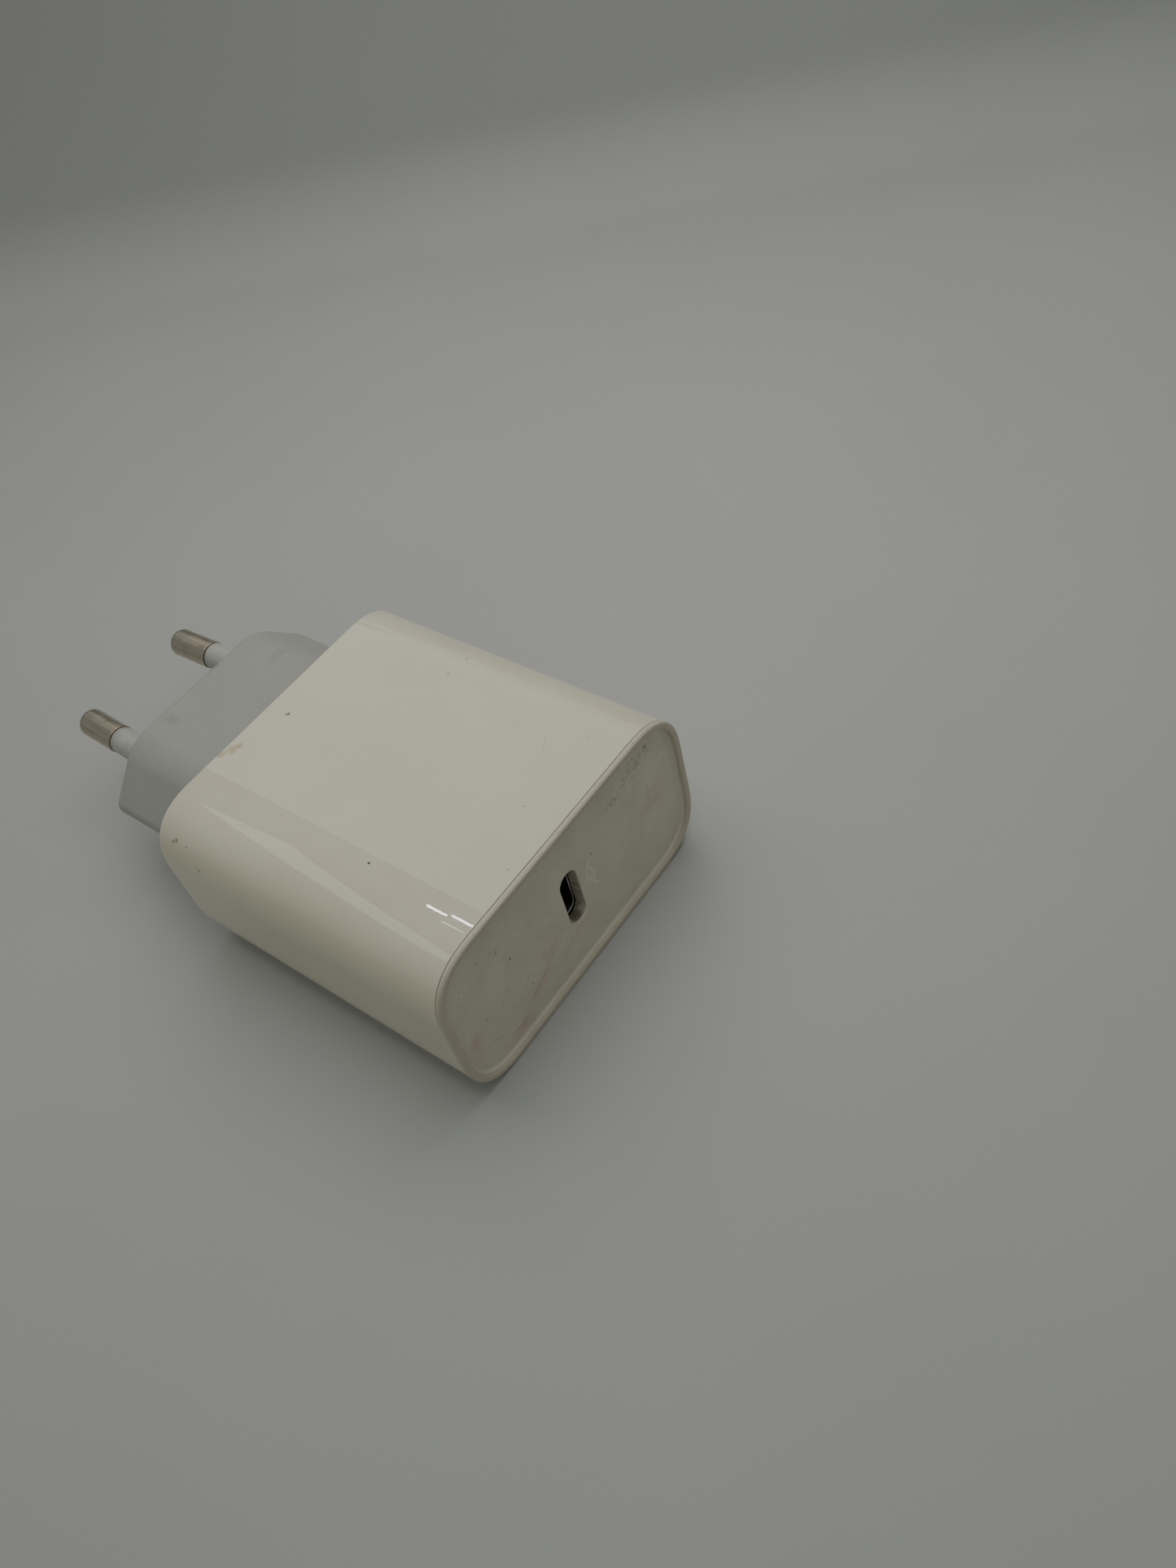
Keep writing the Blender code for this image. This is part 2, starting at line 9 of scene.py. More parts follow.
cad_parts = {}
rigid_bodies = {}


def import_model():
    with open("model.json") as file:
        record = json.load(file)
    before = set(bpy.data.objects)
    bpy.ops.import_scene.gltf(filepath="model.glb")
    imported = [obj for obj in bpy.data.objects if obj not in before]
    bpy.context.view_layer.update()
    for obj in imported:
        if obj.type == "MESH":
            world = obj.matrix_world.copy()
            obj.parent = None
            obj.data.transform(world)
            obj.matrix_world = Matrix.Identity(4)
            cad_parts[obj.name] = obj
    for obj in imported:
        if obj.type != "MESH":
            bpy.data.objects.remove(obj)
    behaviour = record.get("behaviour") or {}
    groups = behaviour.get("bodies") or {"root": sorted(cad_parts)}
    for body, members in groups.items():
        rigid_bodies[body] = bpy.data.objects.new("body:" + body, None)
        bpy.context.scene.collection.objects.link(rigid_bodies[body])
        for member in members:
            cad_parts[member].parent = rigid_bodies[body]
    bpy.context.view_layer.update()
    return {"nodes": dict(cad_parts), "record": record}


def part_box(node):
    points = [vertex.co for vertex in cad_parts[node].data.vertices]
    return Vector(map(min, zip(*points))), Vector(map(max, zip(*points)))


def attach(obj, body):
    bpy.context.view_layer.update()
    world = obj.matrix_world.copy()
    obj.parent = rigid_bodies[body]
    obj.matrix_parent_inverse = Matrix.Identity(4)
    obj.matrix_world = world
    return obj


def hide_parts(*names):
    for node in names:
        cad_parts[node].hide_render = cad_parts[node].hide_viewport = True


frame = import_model()

MM = 0.001

# Outline of the case: flats that flow into superellipse corners
CORNER = 8.2 * MM
CORNER_POWER = 2.6
CORNER_PROFILE = 2 ** (-2 / CORNER_POWER)
CORNER_STEPS = 28
CASE_WALL = 2.0 * MM
LIP = 0.4 * MM
LIP_DEPTH = 1.88 * MM
MOUTH_EDGE = 0.1 * MM
REAR_EDGE = 0.3 * MM

# Front cover
RIM_WIDTH = 0.95 * MM
RIM_DEPTH = 0.65 * MM
RIM_EDGE = 0.28 * MM
RECESS = 0.75 * MM
RECESS_FILLET = 0.44 * MM
PLATE = 1.6 * MM
LAP = 0.52 * MM
SKIRT = 1.1 * MM
SKIRT_INSET = 1.78 * MM
SKIRT_LENGTH = 3.6 * MM
PORT_WIDTH = 2.95 * MM
PORT_HEIGHT = 8.7 * MM
PORT_EDGE = 0.16 * MM
PORT_CLEAR = 8 * MM

# Plug
REAR_PLATE = 2.0 * MM
REAR_RECESS = 0.5 * MM
PANEL_GAP = 0.3 * MM
PLUG_HEIGHT = 13.7 * MM
SHOULDER_X = 11.5 * MM
SHOULDER_RADIUS = 6.0 * MM
TIP_RADIUS = 1.6 * MM
PLUG_EDGE = 0.9 * MM
PLUG_WALL = 2 * MM
PLUG_FLOOR = 8 * MM
HALF_CORNER = math.tan(math.pi / 8)
PIN_LENGTH = 17.0 * MM
PIN_SPACING = 18.6 * MM
PIN_LEAN = math.atan(0.55 * MM / PIN_LENGTH)
PIN_RADIUS = 2.0 * MM
NECK_RADIUS = 1.45 * MM
SLEEVE_RADIUS = 1.9 * MM
SLEEVE_LENGTH = 9.3 * MM
SLEEVE_ROOT = 3.0 * MM
SLEEVE_GAP = 0.12 * MM
PIN_STEP_EDGE = 0.12 * MM
PIN_TAIL = 13.0 * MM

case_low, case_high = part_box("main_shell")
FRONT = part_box("front_cover")[0].y
SHELL_END = case_high.y
PLUG_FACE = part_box("plug_housing")[1].y
TOP = case_high.z
MID = TOP / 2

# Modelling
NEAR = 0.01 * MM
WELD = 0.002 * MM
ROUND_SIDES = 48
SHARP = math.radians(50)
SMOOTH = math.radians(35)


def at(x, y, z):
    """A place in millimetres, y measured from the charger's front."""
    return Vector((x * MM, FRONT + y * MM, z * MM))


# ------------------------------------------------------------------ camera

CAMERA_TURNS = (-41.57, 48.33, -16.39)
CAMERA_PLACE = (-55.51, -69.63, 130.20)
CAMERA_LENS = 30.05
SENSOR_WIDTH = 36.0


def place_camera():
    """A camera above and in front of the left corner, tilted a little."""
    azimuth, elevation, roll = (math.radians(turn) for turn in CAMERA_TURNS)
    back = Vector((math.sin(azimuth) * math.cos(elevation),
                   -math.cos(azimuth) * math.cos(elevation), math.sin(elevation)))
    level = Vector((0, 0, 1)).cross(back).normalized()
    upright = back.cross(level)
    right = level * math.cos(roll) + upright * math.sin(roll)
    up = upright * math.cos(roll) - level * math.sin(roll)
    data = bpy.data.cameras.new("studio_camera")
    data.lens = CAMERA_LENS
    data.sensor_width = SENSOR_WIDTH
    data.clip_start = 0.005
    camera = bpy.data.objects.new("studio_camera", data)
    place = Matrix((right, up, back)).transposed().to_4x4()
    place.translation = at(*CAMERA_PLACE)
    camera.matrix_world = place
    bpy.context.scene.collection.objects.link(camera)
    bpy.context.scene.camera = camera


# ------------------------------------------------------------------ material maths

class Value:
    """A node's output inside a finish; arithmetic on it adds Math nodes."""

    def __init__(self, finish, socket):
        self.finish = finish
        self.socket = socket

    def maths(self, operation, *values):
        """A Math node on this finish's own tree."""
        return self.finish.node("ShaderNodeMath", {"operation": operation}, dict(enumerate(values)))

    def __add__(self, other):
        return self.maths("ADD", self, other)

    def __rsub__(self, other):
        return self.maths("SUBTRACT", other, self)

    def __mul__(self, other):
        return self.maths("MULTIPLY", self, other)

    def __abs__(self):
        return self.maths("ABSOLUTE", self)

    __radd__ = __add__
    __rmul__ = __mul__

    def most(self, other):
        """The larger of two masks."""
        return self.maths("MAXIMUM", self, other)


class Finish:
    """A procedural material, drawn in the object's own metres."""

    def __init__(self, name):
        self.material = bpy.data.materials.new(name)
        self.material.use_nodes = True
        self.tree = self.material.node_tree
        self.shader = self.tree.nodes["Principled BSDF"]
        self.place = self.node("ShaderNodeTexCoord", {}, {}, "Object")

    def node(self, kind, settings, values, output=0):
        """Any node: its settings first, then the values or links of its sockets."""
        made = self.tree.nodes.new(kind)
        for key, value in settings.items():
            setattr(made, key, value)
        for key, value in values.items():
            self.feed(made.inputs[key], value)
        return Value(self, made.outputs[output])

    def feed(self, socket, value):
        """Link a value to a socket, or set the socket to a plain number or colour."""
        if isinstance(value, Value):
            self.tree.links.new(value.socket, socket)
        elif socket.type == "RGBA":
            socket.default_value = (*value, 1.0)
        else:
            socket.default_value = value

    def shade(self, **values):
        """Feed the main shader; Base_Color means its Base Color socket."""
        for key, value in values.items():
            self.feed(self.shader.inputs[key.replace("_", " ")], value)

    def scaled(self, stretch, shift=(0, 0, 0)):
        """The object's own place, stretched and then shifted."""
        return self.node("ShaderNodeMapping", {"vector_type": "POINT"},
                         {"Vector": self.place, "Location": shift, "Scale": stretch})

    def noise(self, size, detail=3.0, rough=0.55, stretch=(1, 1, 1), shift=(0, 0, 0), twist=0.0):
        """Cloudy noise with lumps about one size wide."""
        where = self.scaled([part / size for part in stretch], shift)
        return self.node("ShaderNodeTexNoise", {}, {"Vector": where, "Scale": 1.0, "Detail": detail,
                                                    "Roughness": rough, "Distortion": twist})

    def cells(self, size, feature="F1", stretch=(1, 1, 1)):
        """Distance within scattered cells about one size wide."""
        where = self.scaled([part / size for part in stretch])
        return self.node("ShaderNodeTexVoronoi", {"feature": feature},
                         {"Vector": where, "Scale": 1.0}, "Distance")

    def fade(self, value, low, high):
        """Smoothly 0 below low and 1 above high, or the other way round."""
        return self.node("ShaderNodeMapRange", {"interpolation_type": "SMOOTHSTEP"},
                         {"Value": value, "From Min": low, "From Max": high})

    def axis(self, name):
        """One coordinate of the object's own place, in metres."""
        return self.node("ShaderNodeSeparateXYZ", {}, {0: self.place}, name)

    def mix(self, mask, first, second):
        """The first colour where the mask is 0, the second where it is 1."""
        return self.node("ShaderNodeMix", {"data_type": "RGBA"},
                         {0: mask, 6: first, 7: second}, 2)

    def spot(self, centre, size, edge=0.35):
        """A soft patch, 1 at its centre, size in metres from middle to rim."""
        where = self.scaled([1 / part for part in size],
                            [-middle / part for middle, part in zip(centre, size)])
        reach = self.node("ShaderNodeVectorMath", {"operation": "LENGTH"}, {0: where}, "Value")
        return self.fade(reach, 1.0, edge)

    def spots(self, places):
        """Small marks, each (x, distance from the front, z, radius) in millimetres."""
        total = 0.0
        for x, y, z, radius in places:
            total = self.spot(at(x, y, z), [radius * MM] * 3) + total
        return total

    def stroke(self, start, end, width):
        """A thin line between two points, each (x, distance from the front, z) in millimetres."""
        first, last = at(*start), at(*end)
        run = last - first
        away = self.node("ShaderNodeVectorMath", {"operation": "SUBTRACT"},
                         {0: self.place, 1: first})
        along = self.node("ShaderNodeVectorMath", {"operation": "DOT_PRODUCT"},
                          {0: away, 1: run / run.length_squared}, "Value")
        share = self.node("ShaderNodeClamp", {}, {"Value": along})
        nearest = self.node("ShaderNodeVectorMath", {"operation": "SCALE"},
                            {0: run, "Scale": share})
        gap = self.node("ShaderNodeVectorMath", {"operation": "DISTANCE"},
                        {0: away, 1: nearest}, "Value")
        return self.fade(gap, width * MM, width * MM * 0.3)

    def patches(self, places):
        """Broad soft patches, each a middle and a half-size in millimetres."""
        total = 0.0
        for middle, size in places:
            total = self.spot(at(*middle), [part * MM for part in size], 0.1) + total
        return total

    def strokes(self, paths, width):
        """Thin lines along paths of points, each (x, distance from the front, z) in millimetres."""
        total = 0.0
        for path in paths:
            for start, end in zip(path, path[1:]):
                total = self.stroke(start, end, width) + total
        return total

    def bump(self, height, depth):
        """Relief from a 0 to 1 height, depth in metres."""
        return self.node("ShaderNodeBump", {},
                         {"Height": height, "Distance": depth, "Strength": 1.0})


# ------------------------------------------------------------------ finishes

TAPE_PITCH = 3.0 * MM
WIRE_PITCH = 0.6 * MM


def glossy_white():
    """Polished warm white shell with a little dirt caught in it."""
    f = Finish("glossy_white")
    cloud = f.noise(9 * MM, 3.0)
    colour = f.mix(f.fade(cloud, 0.35, 0.65), (0.685, 0.645, 0.485), (0.71, 0.67, 0.51))
    worn = f.noise(1.1 * MM, 5.0, 0.7)
    stain = f.spots([(-8.0, 43.7, 23.6, 1.0), (-9.2, 44.5, 23.6, 0.9), (-7.2, 43.3, 23.6, 0.6)])
    colour = f.mix(f.fade(worn, 0.36, 0.62) * stain * 0.6, colour, (0.46, 0.37, 0.16))
    specks = f.spots([
        (-0.5, 41.4, 23.6, 0.28), (-0.7, 41.6, 23.6, 0.2), (-12.7, 16.5, 23.6, 0.24),
        (13.7, 27.2, 23.6, 0.16), (16.9, 26.9, 23.4, 0.18), (1.6, 5.9, 23.6, 0.13),
        (-6.0, 2.1, 23.6, 0.11), (9.1, 27.4, 23.6, 0.08), (13.4, 18.1, 23.6, 0.08),
        (-15.9, 33.9, 23.5, 0.10), (-21.7, 37.9, 19.1, 0.2), (-21.6, 38.2, 19.4, 0.14),
        (-22.1, 25.6, 8.4, 0.16), (-12.5, 30.5, 23.6, 0.07), (4.2, 33.0, 23.6, 0.06)])
    colour = f.mix(specks, colour, (0.10, 0.085, 0.06))
    rust = f.spots([(-20.5, 41.8, 21.3, 0.36), (-20.7, 42.3, 21.0, 0.3), (-20.6, 40.0, 21.2, 0.2)])
    colour = f.mix(rust * 0.8, colour, (0.34, 0.15, 0.07))
    hairs = f.strokes([((10.8, 9.8, 23.6), (9.4, 9.2, 23.6)),
                       ((13.3, 5.8, 23.6), (12.7, 5.1, 23.6)),
                       ((17.0, 21.0, 23.4), (17.9, 18.3, 23.2))], 0.06)
    colour = f.mix(hairs * 0.5, colour, (0.25, 0.22, 0.17))
    f.shade(Base_Color=colour, Normal=f.bump(cloud, 0.0008 * MM),
            Roughness=f.fade(cloud, 0.2, 0.8) * 0.008 + f.fade(worn, 0.5, 0.8) * 0.01
            + stain * 0.3 + 0.006)
    return f.material


PLATE_MARK = 0.8
PLATE_REACH = 3


def on_plate(*path):
    """Points (x, z) in millimetres, put on the plate."""
    return [(x, PLATE_MARK, z) for x, z in path]


def matte_cover():
    """Eroded matte front with grime in a corner, pink rubs and fine curved scratches."""
    f = Finish("matte_cover")
    grain = f.noise(0.22 * MM, 2.0)
    cloud = f.noise(5 * MM, 4.0)
    blot = f.noise(1.6 * MM, 5.0, 0.65, shift=(4, 2, 7))
    colour = f.mix(f.fade(cloud, 0.3, 0.7), (0.60, 0.562, 0.45), (0.66, 0.622, 0.505))
    colour = f.mix(f.fade(grain, 0.35, 0.7) * 0.12, colour, (0.30, 0.28, 0.22))
    pink = f.patches([((x, PLATE_MARK, z), (wide, PLATE_REACH, high)) for x, z, wide, high in (
        (-8.3, 5.1, 3.4, 2.4), (-13.2, 2.6, 5.0, 1.8), (-5.6, 9.0, 2.6, 3.0),
        (0.2, 6.6, 2.2, 1.2), (-19.3, 8.0, 1.5, 4.0), (16.0, 12.0, 4.0, 3.5))])
    colour = f.mix(pink * f.fade(blot, 0.3, 0.65) * 0.6, colour, (0.60, 0.41, 0.33))
    crumbs = f.noise(0.7 * MM, 6.0, 0.75, shift=(1, 5, 3))
    grime = f.patches([((x, PLATE_MARK, z), (wide, PLATE_REACH, high)) for x, z, wide, high in (
        (14.7, 20.2, 3.0, 1.7), (16.9, 20.4, 2.0, 1.5), (12.6, 19.4, 2.2, 1.5),
        (-12.7, 17.4, 1.6, 1.0), (9.5, 18.4, 2.0, 1.2))])
    colour = f.mix(grime * f.fade(crumbs, 0.46, 0.62) * 0.6, colour, (0.25, 0.19, 0.09))
    # Painted shade: the rim's front face and rounded edge are darkened to tone down the light they
    # catch from above.
    rim = f.fade(f.axis("Y"), FRONT + 0.55 * MM, FRONT + 0.3 * MM)
    colour = f.mix(rim * 0.45, colour, (0.40, 0.34, 0.25))
    dots = f.spots([(x, PLATE_MARK, z, radius) for x, z, radius in (
        (15.1, 3.8, 0.16), (4.4, 14.9, 0.19), (7.7, 21.3, 0.14), (-15.0, 18.7, 0.15),
        (-11.0, 14.2, 0.2), (-6.9, 14.9, 0.12), (9.6, 17.9, 0.13), (13.7, 18.6, 0.16),
        (-16.8, 9.9, 0.14), (2.5, 15.4, 0.11), (10.8, 9.3, 0.1), (-9.4, 6.9, 0.13))])
    pits = f.cells(1.3 * MM)
    dots = dots + f.fade(pits, 0.09, 0.04) * f.fade(cloud, 0.42, 0.58) * 0.75
    colour = f.mix(dots, colour, (0.09, 0.075, 0.055))
    pale = f.strokes([on_plate((3.9, 14.3), (3.0, 13.6), (2.7, 11.9)),
                      on_plate((3.5, 13.3), (4.1, 12.0), (3.6, 10.5), (4.4, 9.6)),
                      on_plate((2.9, 11.8), (3.7, 11.2))], 0.16)
    colour = f.mix(pale * 0.75, colour, (0.80, 0.74, 0.62))
    scuffs = f.strokes([on_plate((-18.3, 5.6), (-17.2, 5.7), (-15.7, 4.7)),
                        on_plate((-15.3, 3.4), (-12.9, 3.0), (-10.6, 3.9)),
                        on_plate((-10.4, 4.6), (-6.3, 7.0), (-3.4, 7.9)),
                        on_plate((-12.0, 6.8), (-9.3, 8.9)), on_plate((-14.1, 9.4), (-12.6, 10.6)),
                        on_plate((-9.9, 2.3), (-8.2, 3.1), (-7.5, 4.4)),
                        on_plate((-4.6, 5.0), (-2.2, 5.9)),
                        on_plate((11.9, 19.0), (13.4, 19.9))], 0.09)
    colour = f.mix(scuffs * f.fade(blot, 0.3, 0.5) * 0.75, colour, (0.17, 0.13, 0.09))
    # Inside the port's slot: noisy dirt, plus painted shade that deepens into the hole and is
    # strongest at the slot's bottom end.
    inside = f.fade(abs(f.axis("X")), PORT_WIDTH / 2 + 0.08 * MM, PORT_WIDTH / 2)
    inside = inside * f.fade(f.axis("Y"), FRONT + RECESS + 0.05 * MM, FRONT + RECESS + 0.4 * MM)
    ends = f.fade(f.axis("Z"), MID - PORT_HEIGHT / 2 + 0.5 * MM, MID - PORT_HEIGHT / 2)
    dirt = f.noise(0.55 * MM, 5.0, 0.65, shift=(3, 1, 2))
    colour = f.mix(inside * (f.fade(dirt, 0.45, 0.65) * 0.5 + 0.08).most(ends * 0.8), colour,
                   (0.13, 0.10, 0.06))
    height = f.fade(grain, 0.3, 0.7) + scuffs * -0.6
    f.shade(Base_Color=colour, Normal=f.bump(height, 0.012 * MM),
            Roughness=f.fade(cloud, 0.3, 0.7) * 0.1 + f.fade(blot, 0.3, 0.7) * 0.08 + 0.4)
    return f.material


def plug_grey():
    """Fine-eroded cool grey plug, handled and smeared."""
    f = Finish("plug_grey")
    grain = f.noise(0.25 * MM, 2.0)
    cloud = f.noise(7 * MM, 4.0)
    smear = f.noise(2.4 * MM, 5.0, 0.6, stretch=(1, 0.35, 1), twist=0.6)
    colour = f.mix(f.fade(cloud, 0.3, 0.7), (0.36, 0.375, 0.33), (0.375, 0.39, 0.345))
    colour = f.mix(f.fade(grain, 0.4, 0.7) * 0.1, colour, (0.22, 0.23, 0.21))
    colour = f.mix(f.fade(smear, 0.52, 0.7) * 0.18, colour, (0.27, 0.28, 0.25))
    smudge = f.patches([((3.5, 62.6, 18.6), (1.6, 0.8, 1.0)), ((-6.0, 60.5, 18.6), (1.2, 2.0, 1.0)),
                        ((9.0, 56.0, 18.6), (2.4, 1.4, 1.5))])
    colour = f.mix(smudge * f.fade(smear, 0.35, 0.6) * 0.3, colour, (0.16, 0.165, 0.15))
    f.shade(Base_Color=colour, Normal=f.bump(f.fade(grain, 0.3, 0.7), 0.01 * MM),
            Roughness=f.fade(cloud, 0.3, 0.7) * 0.08 + f.fade(smear, 0.4, 0.7) * 0.08 + 0.4)
    return f.material


def sleeve_white():
    """Smooth pale sleeve with grey rubs round it and dirt at its outer end."""
    f = Finish("sleeve_white")
    cloud = f.noise(3 * MM, 4.0)
    rings = f.noise(0.8 * MM, 4.0, stretch=(0.3, 2.5, 0.3))
    colour = f.mix(f.fade(cloud, 0.3, 0.7), (0.42, 0.43, 0.38), (0.48, 0.49, 0.44))
    colour = f.mix(f.fade(rings, 0.5, 0.75) * 0.3, colour, (0.30, 0.30, 0.26))
    end = f.fade(f.axis("Y"), PLUG_FACE + SLEEVE_LENGTH - 1.2 * MM, PLUG_FACE + SLEEVE_LENGTH)
    colour = f.mix(end * 0.35, colour, (0.26, 0.25, 0.21))
    f.shade(Base_Color=colour, Normal=f.bump(rings, 0.01 * MM),
            Roughness=f.fade(cloud, 0.3, 0.7) * 0.1 + 0.3)
    return f.material


def nickel_plate():
    """Plated pins: fine lengthwise drawing marks, rubbed dull where they slide into sockets."""
    f = Finish("nickel_plate")
    drawn = f.noise(0.35 * MM, 5.0, stretch=(1, 0.05, 1))
    cloud = f.noise(2.2 * MM, 4.0)
    rings = f.noise(0.5 * MM, 3.0, stretch=(0.2, 1.5, 0.2))
    colour = f.mix(f.fade(drawn, 0.3, 0.7), (0.46, 0.41, 0.33), (0.54, 0.49, 0.40))
    colour = f.mix(f.fade(cloud, 0.45, 0.75) * 0.3, colour, (0.36, 0.31, 0.24))
    height = drawn * 0.6 + rings * 0.4
    f.shade(Base_Color=colour, Metallic=1.0, Normal=f.bump(height, 0.0015 * MM),
            Roughness=f.fade(cloud, 0.3, 0.7) * 0.12 + f.fade(drawn, 0.4, 0.7) * 0.04 + 0.2)
    return f.material


def metal(name, dark, bright, roughness, stretch=(1, 1, 1), size=1.0):
    """Rolled or drawn metal, its grain along the smaller stretch."""
    f = Finish(name)
    streak = f.noise(size * MM, 5.0, stretch=stretch)
    fine = f.noise(size * 0.15 * MM, 2.0, stretch=stretch)
    colour = f.mix(f.fade(streak, 0.3, 0.7), dark, bright)
    f.shade(Base_Color=colour, Metallic=1.0, Normal=f.bump(fine, 0.005 * MM),
            Roughness=f.fade(streak, 0.3, 0.7) * 0.12 + roughness)
    return f.material


def moulded(name, dark, bright, roughness, size=2.0, grain=0.01):
    """Moulded or dipped plastic with a fine skin."""
    f = Finish(name)
    cloud = f.noise(size * MM, 4.0)
    fine = f.noise(0.15 * MM, 2.0)
    colour = f.mix(f.fade(cloud, 0.3, 0.7), dark, bright)
    f.shade(Base_Color=colour, Roughness=f.fade(cloud, 0.3, 0.7) * 0.15 + roughness,
            Normal=f.bump(fine, grain * MM))
    return f.material


def board_green():
    """Green lacquer over copper tracks, tinned pads, and cut glass-fibre edges."""
    f = Finish("board_green")
    weave = f.noise(0.4 * MM, 2.0, stretch=(1, 1, 0.2))
    cells = f.cells(3.4 * MM, "DISTANCE_TO_EDGE", (1, 1, 0.05))
    track = f.fade(cells, 0.16, 0.12)
    colour = f.mix(f.fade(weave, 0.3, 0.7), (0.018, 0.10, 0.045), (0.03, 0.135, 0.06))
    colour = f.mix(track, colour, (0.05, 0.22, 0.08))
    pads = f.cells(2.54 * MM, "F1", (1, 1, 0.05))
    pad = f.fade(pads, 0.17, 0.14)
    colour = f.mix(pad, colour, (0.70, 0.69, 0.66))
    f.shade(Base_Color=colour, Metallic=pad * 0.9, Normal=f.bump(track + pad, 0.03 * MM),
            Roughness=f.fade(weave, 0.3, 0.7) * 0.1 + pad * 0.1 + 0.25)
    return f.material


def sleeved_can():
    """Capacitor cans: dark shrink sleeve with a pale stripe, bare aluminium top."""
    low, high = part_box("bulk_capacitor_front")
    f = Finish("can_sleeve")
    cloud = f.noise(3 * MM, 4.0)
    fine = f.noise(0.2 * MM, 2.0)
    colour = f.mix(f.fade(cloud, 0.3, 0.7), (0.02, 0.035, 0.06), (0.035, 0.055, 0.09))
    stripe = f.fade(f.axis("X"), low.x + 0.75 * MM, low.x + 0.7 * MM)
    colour = f.mix(stripe, colour, (0.55, 0.57, 0.58))
    top = f.fade(f.axis("Z"), high.z - 0.12 * MM, high.z - 0.06 * MM)
    colour = f.mix(top, colour, (0.76, 0.76, 0.77))
    f.shade(Base_Color=colour, Metallic=top, Normal=f.bump(fine, 0.008 * MM),
            Roughness=f.fade(cloud, 0.3, 0.7) * 0.1 + 0.2)
    return f.material


def polymer_can():
    """Bare drawn cans with a blue code segment along the top's edge."""
    low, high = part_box("output_capacitor_inner")
    f = Finish("polymer_can")
    drawn = f.noise(0.5 * MM, 4.0, stretch=(1, 1, 0.1))
    colour = f.mix(f.fade(drawn, 0.3, 0.7), (0.62, 0.62, 0.63), (0.80, 0.80, 0.81))
    side = f.fade(f.axis("Y"), low.y + 1.9 * MM, low.y + 1.8 * MM)
    top = f.fade(f.axis("Z"), high.z - 0.1 * MM, high.z - 0.05 * MM)
    band = side * top
    colour = f.mix(band, colour, (0.10, 0.12, 0.30))
    f.shade(Base_Color=colour, Metallic=1 - band, Normal=f.bump(drawn, 0.006 * MM),
            Roughness=f.fade(drawn, 0.3, 0.7) * 0.1 + band * 0.2 + 0.2)
    return f.material


def wound(name, dark, bright, pitch, metallic):
    """Turns of wire or tape laid side by side up the coil, with painted shade in the grooves
    between them.
    """
    f = Finish(name)
    turn = abs((f.axis("Z") * (math.pi / pitch)).maths("SINE"))
    cloud = f.noise(1.5 * MM, 4.0)
    colour = f.mix(f.fade(cloud, 0.3, 0.7), dark, bright)
    # Painted shade: the grooves between neighbouring turns are darkened.
    colour = f.mix(f.fade(turn, 0.35, 0.0) * 0.7, colour, [0.3 * part for part in dark])
    f.shade(Base_Color=colour, Metallic=metallic, Normal=f.bump(turn, 0.2 * pitch),
            Roughness=f.fade(cloud, 0.3, 0.7) * 0.12 + 0.2)
    return f.material


def dipped(name, dark, bright, edge):
    """Glossy epoxy dip, thinner and darker towards the board."""
    f = Finish(name)
    cloud = f.noise(2.2 * MM, 4.0)
    orange = f.noise(0.5 * MM, 2.0)
    colour = f.mix(f.fade(cloud, 0.3, 0.7), dark, bright)
    low = f.fade(f.axis("Z"), 9.0 * MM, 6.4 * MM)
    colour = f.mix(low * f.fade(cloud, 0.2, 0.6), colour, edge)
    f.shade(Base_Color=colour, Normal=f.bump(orange, 0.03 * MM),
            Roughness=f.fade(cloud, 0.3, 0.7) * 0.1 + 0.18)
    return f.material


def ferrite():
    """Sintered ferrite: charcoal, gritty, with tiny bright chips."""
    f = Finish("ferrite")
    grit = f.noise(0.12 * MM, 3.0)
    cloud = f.noise(3 * MM, 4.0)
    colour = f.mix(f.fade(cloud, 0.3, 0.7), (0.045, 0.045, 0.047), (0.08, 0.08, 0.085))
    colour = f.mix(f.fade(grit, 0.62, 0.7) * 0.5, colour, (0.2, 0.2, 0.21))
    f.shade(Base_Color=colour, Normal=f.bump(grit, 0.03 * MM),
            Roughness=f.fade(grit, 0.3, 0.7) * 0.2 + 0.42)
    return f.material


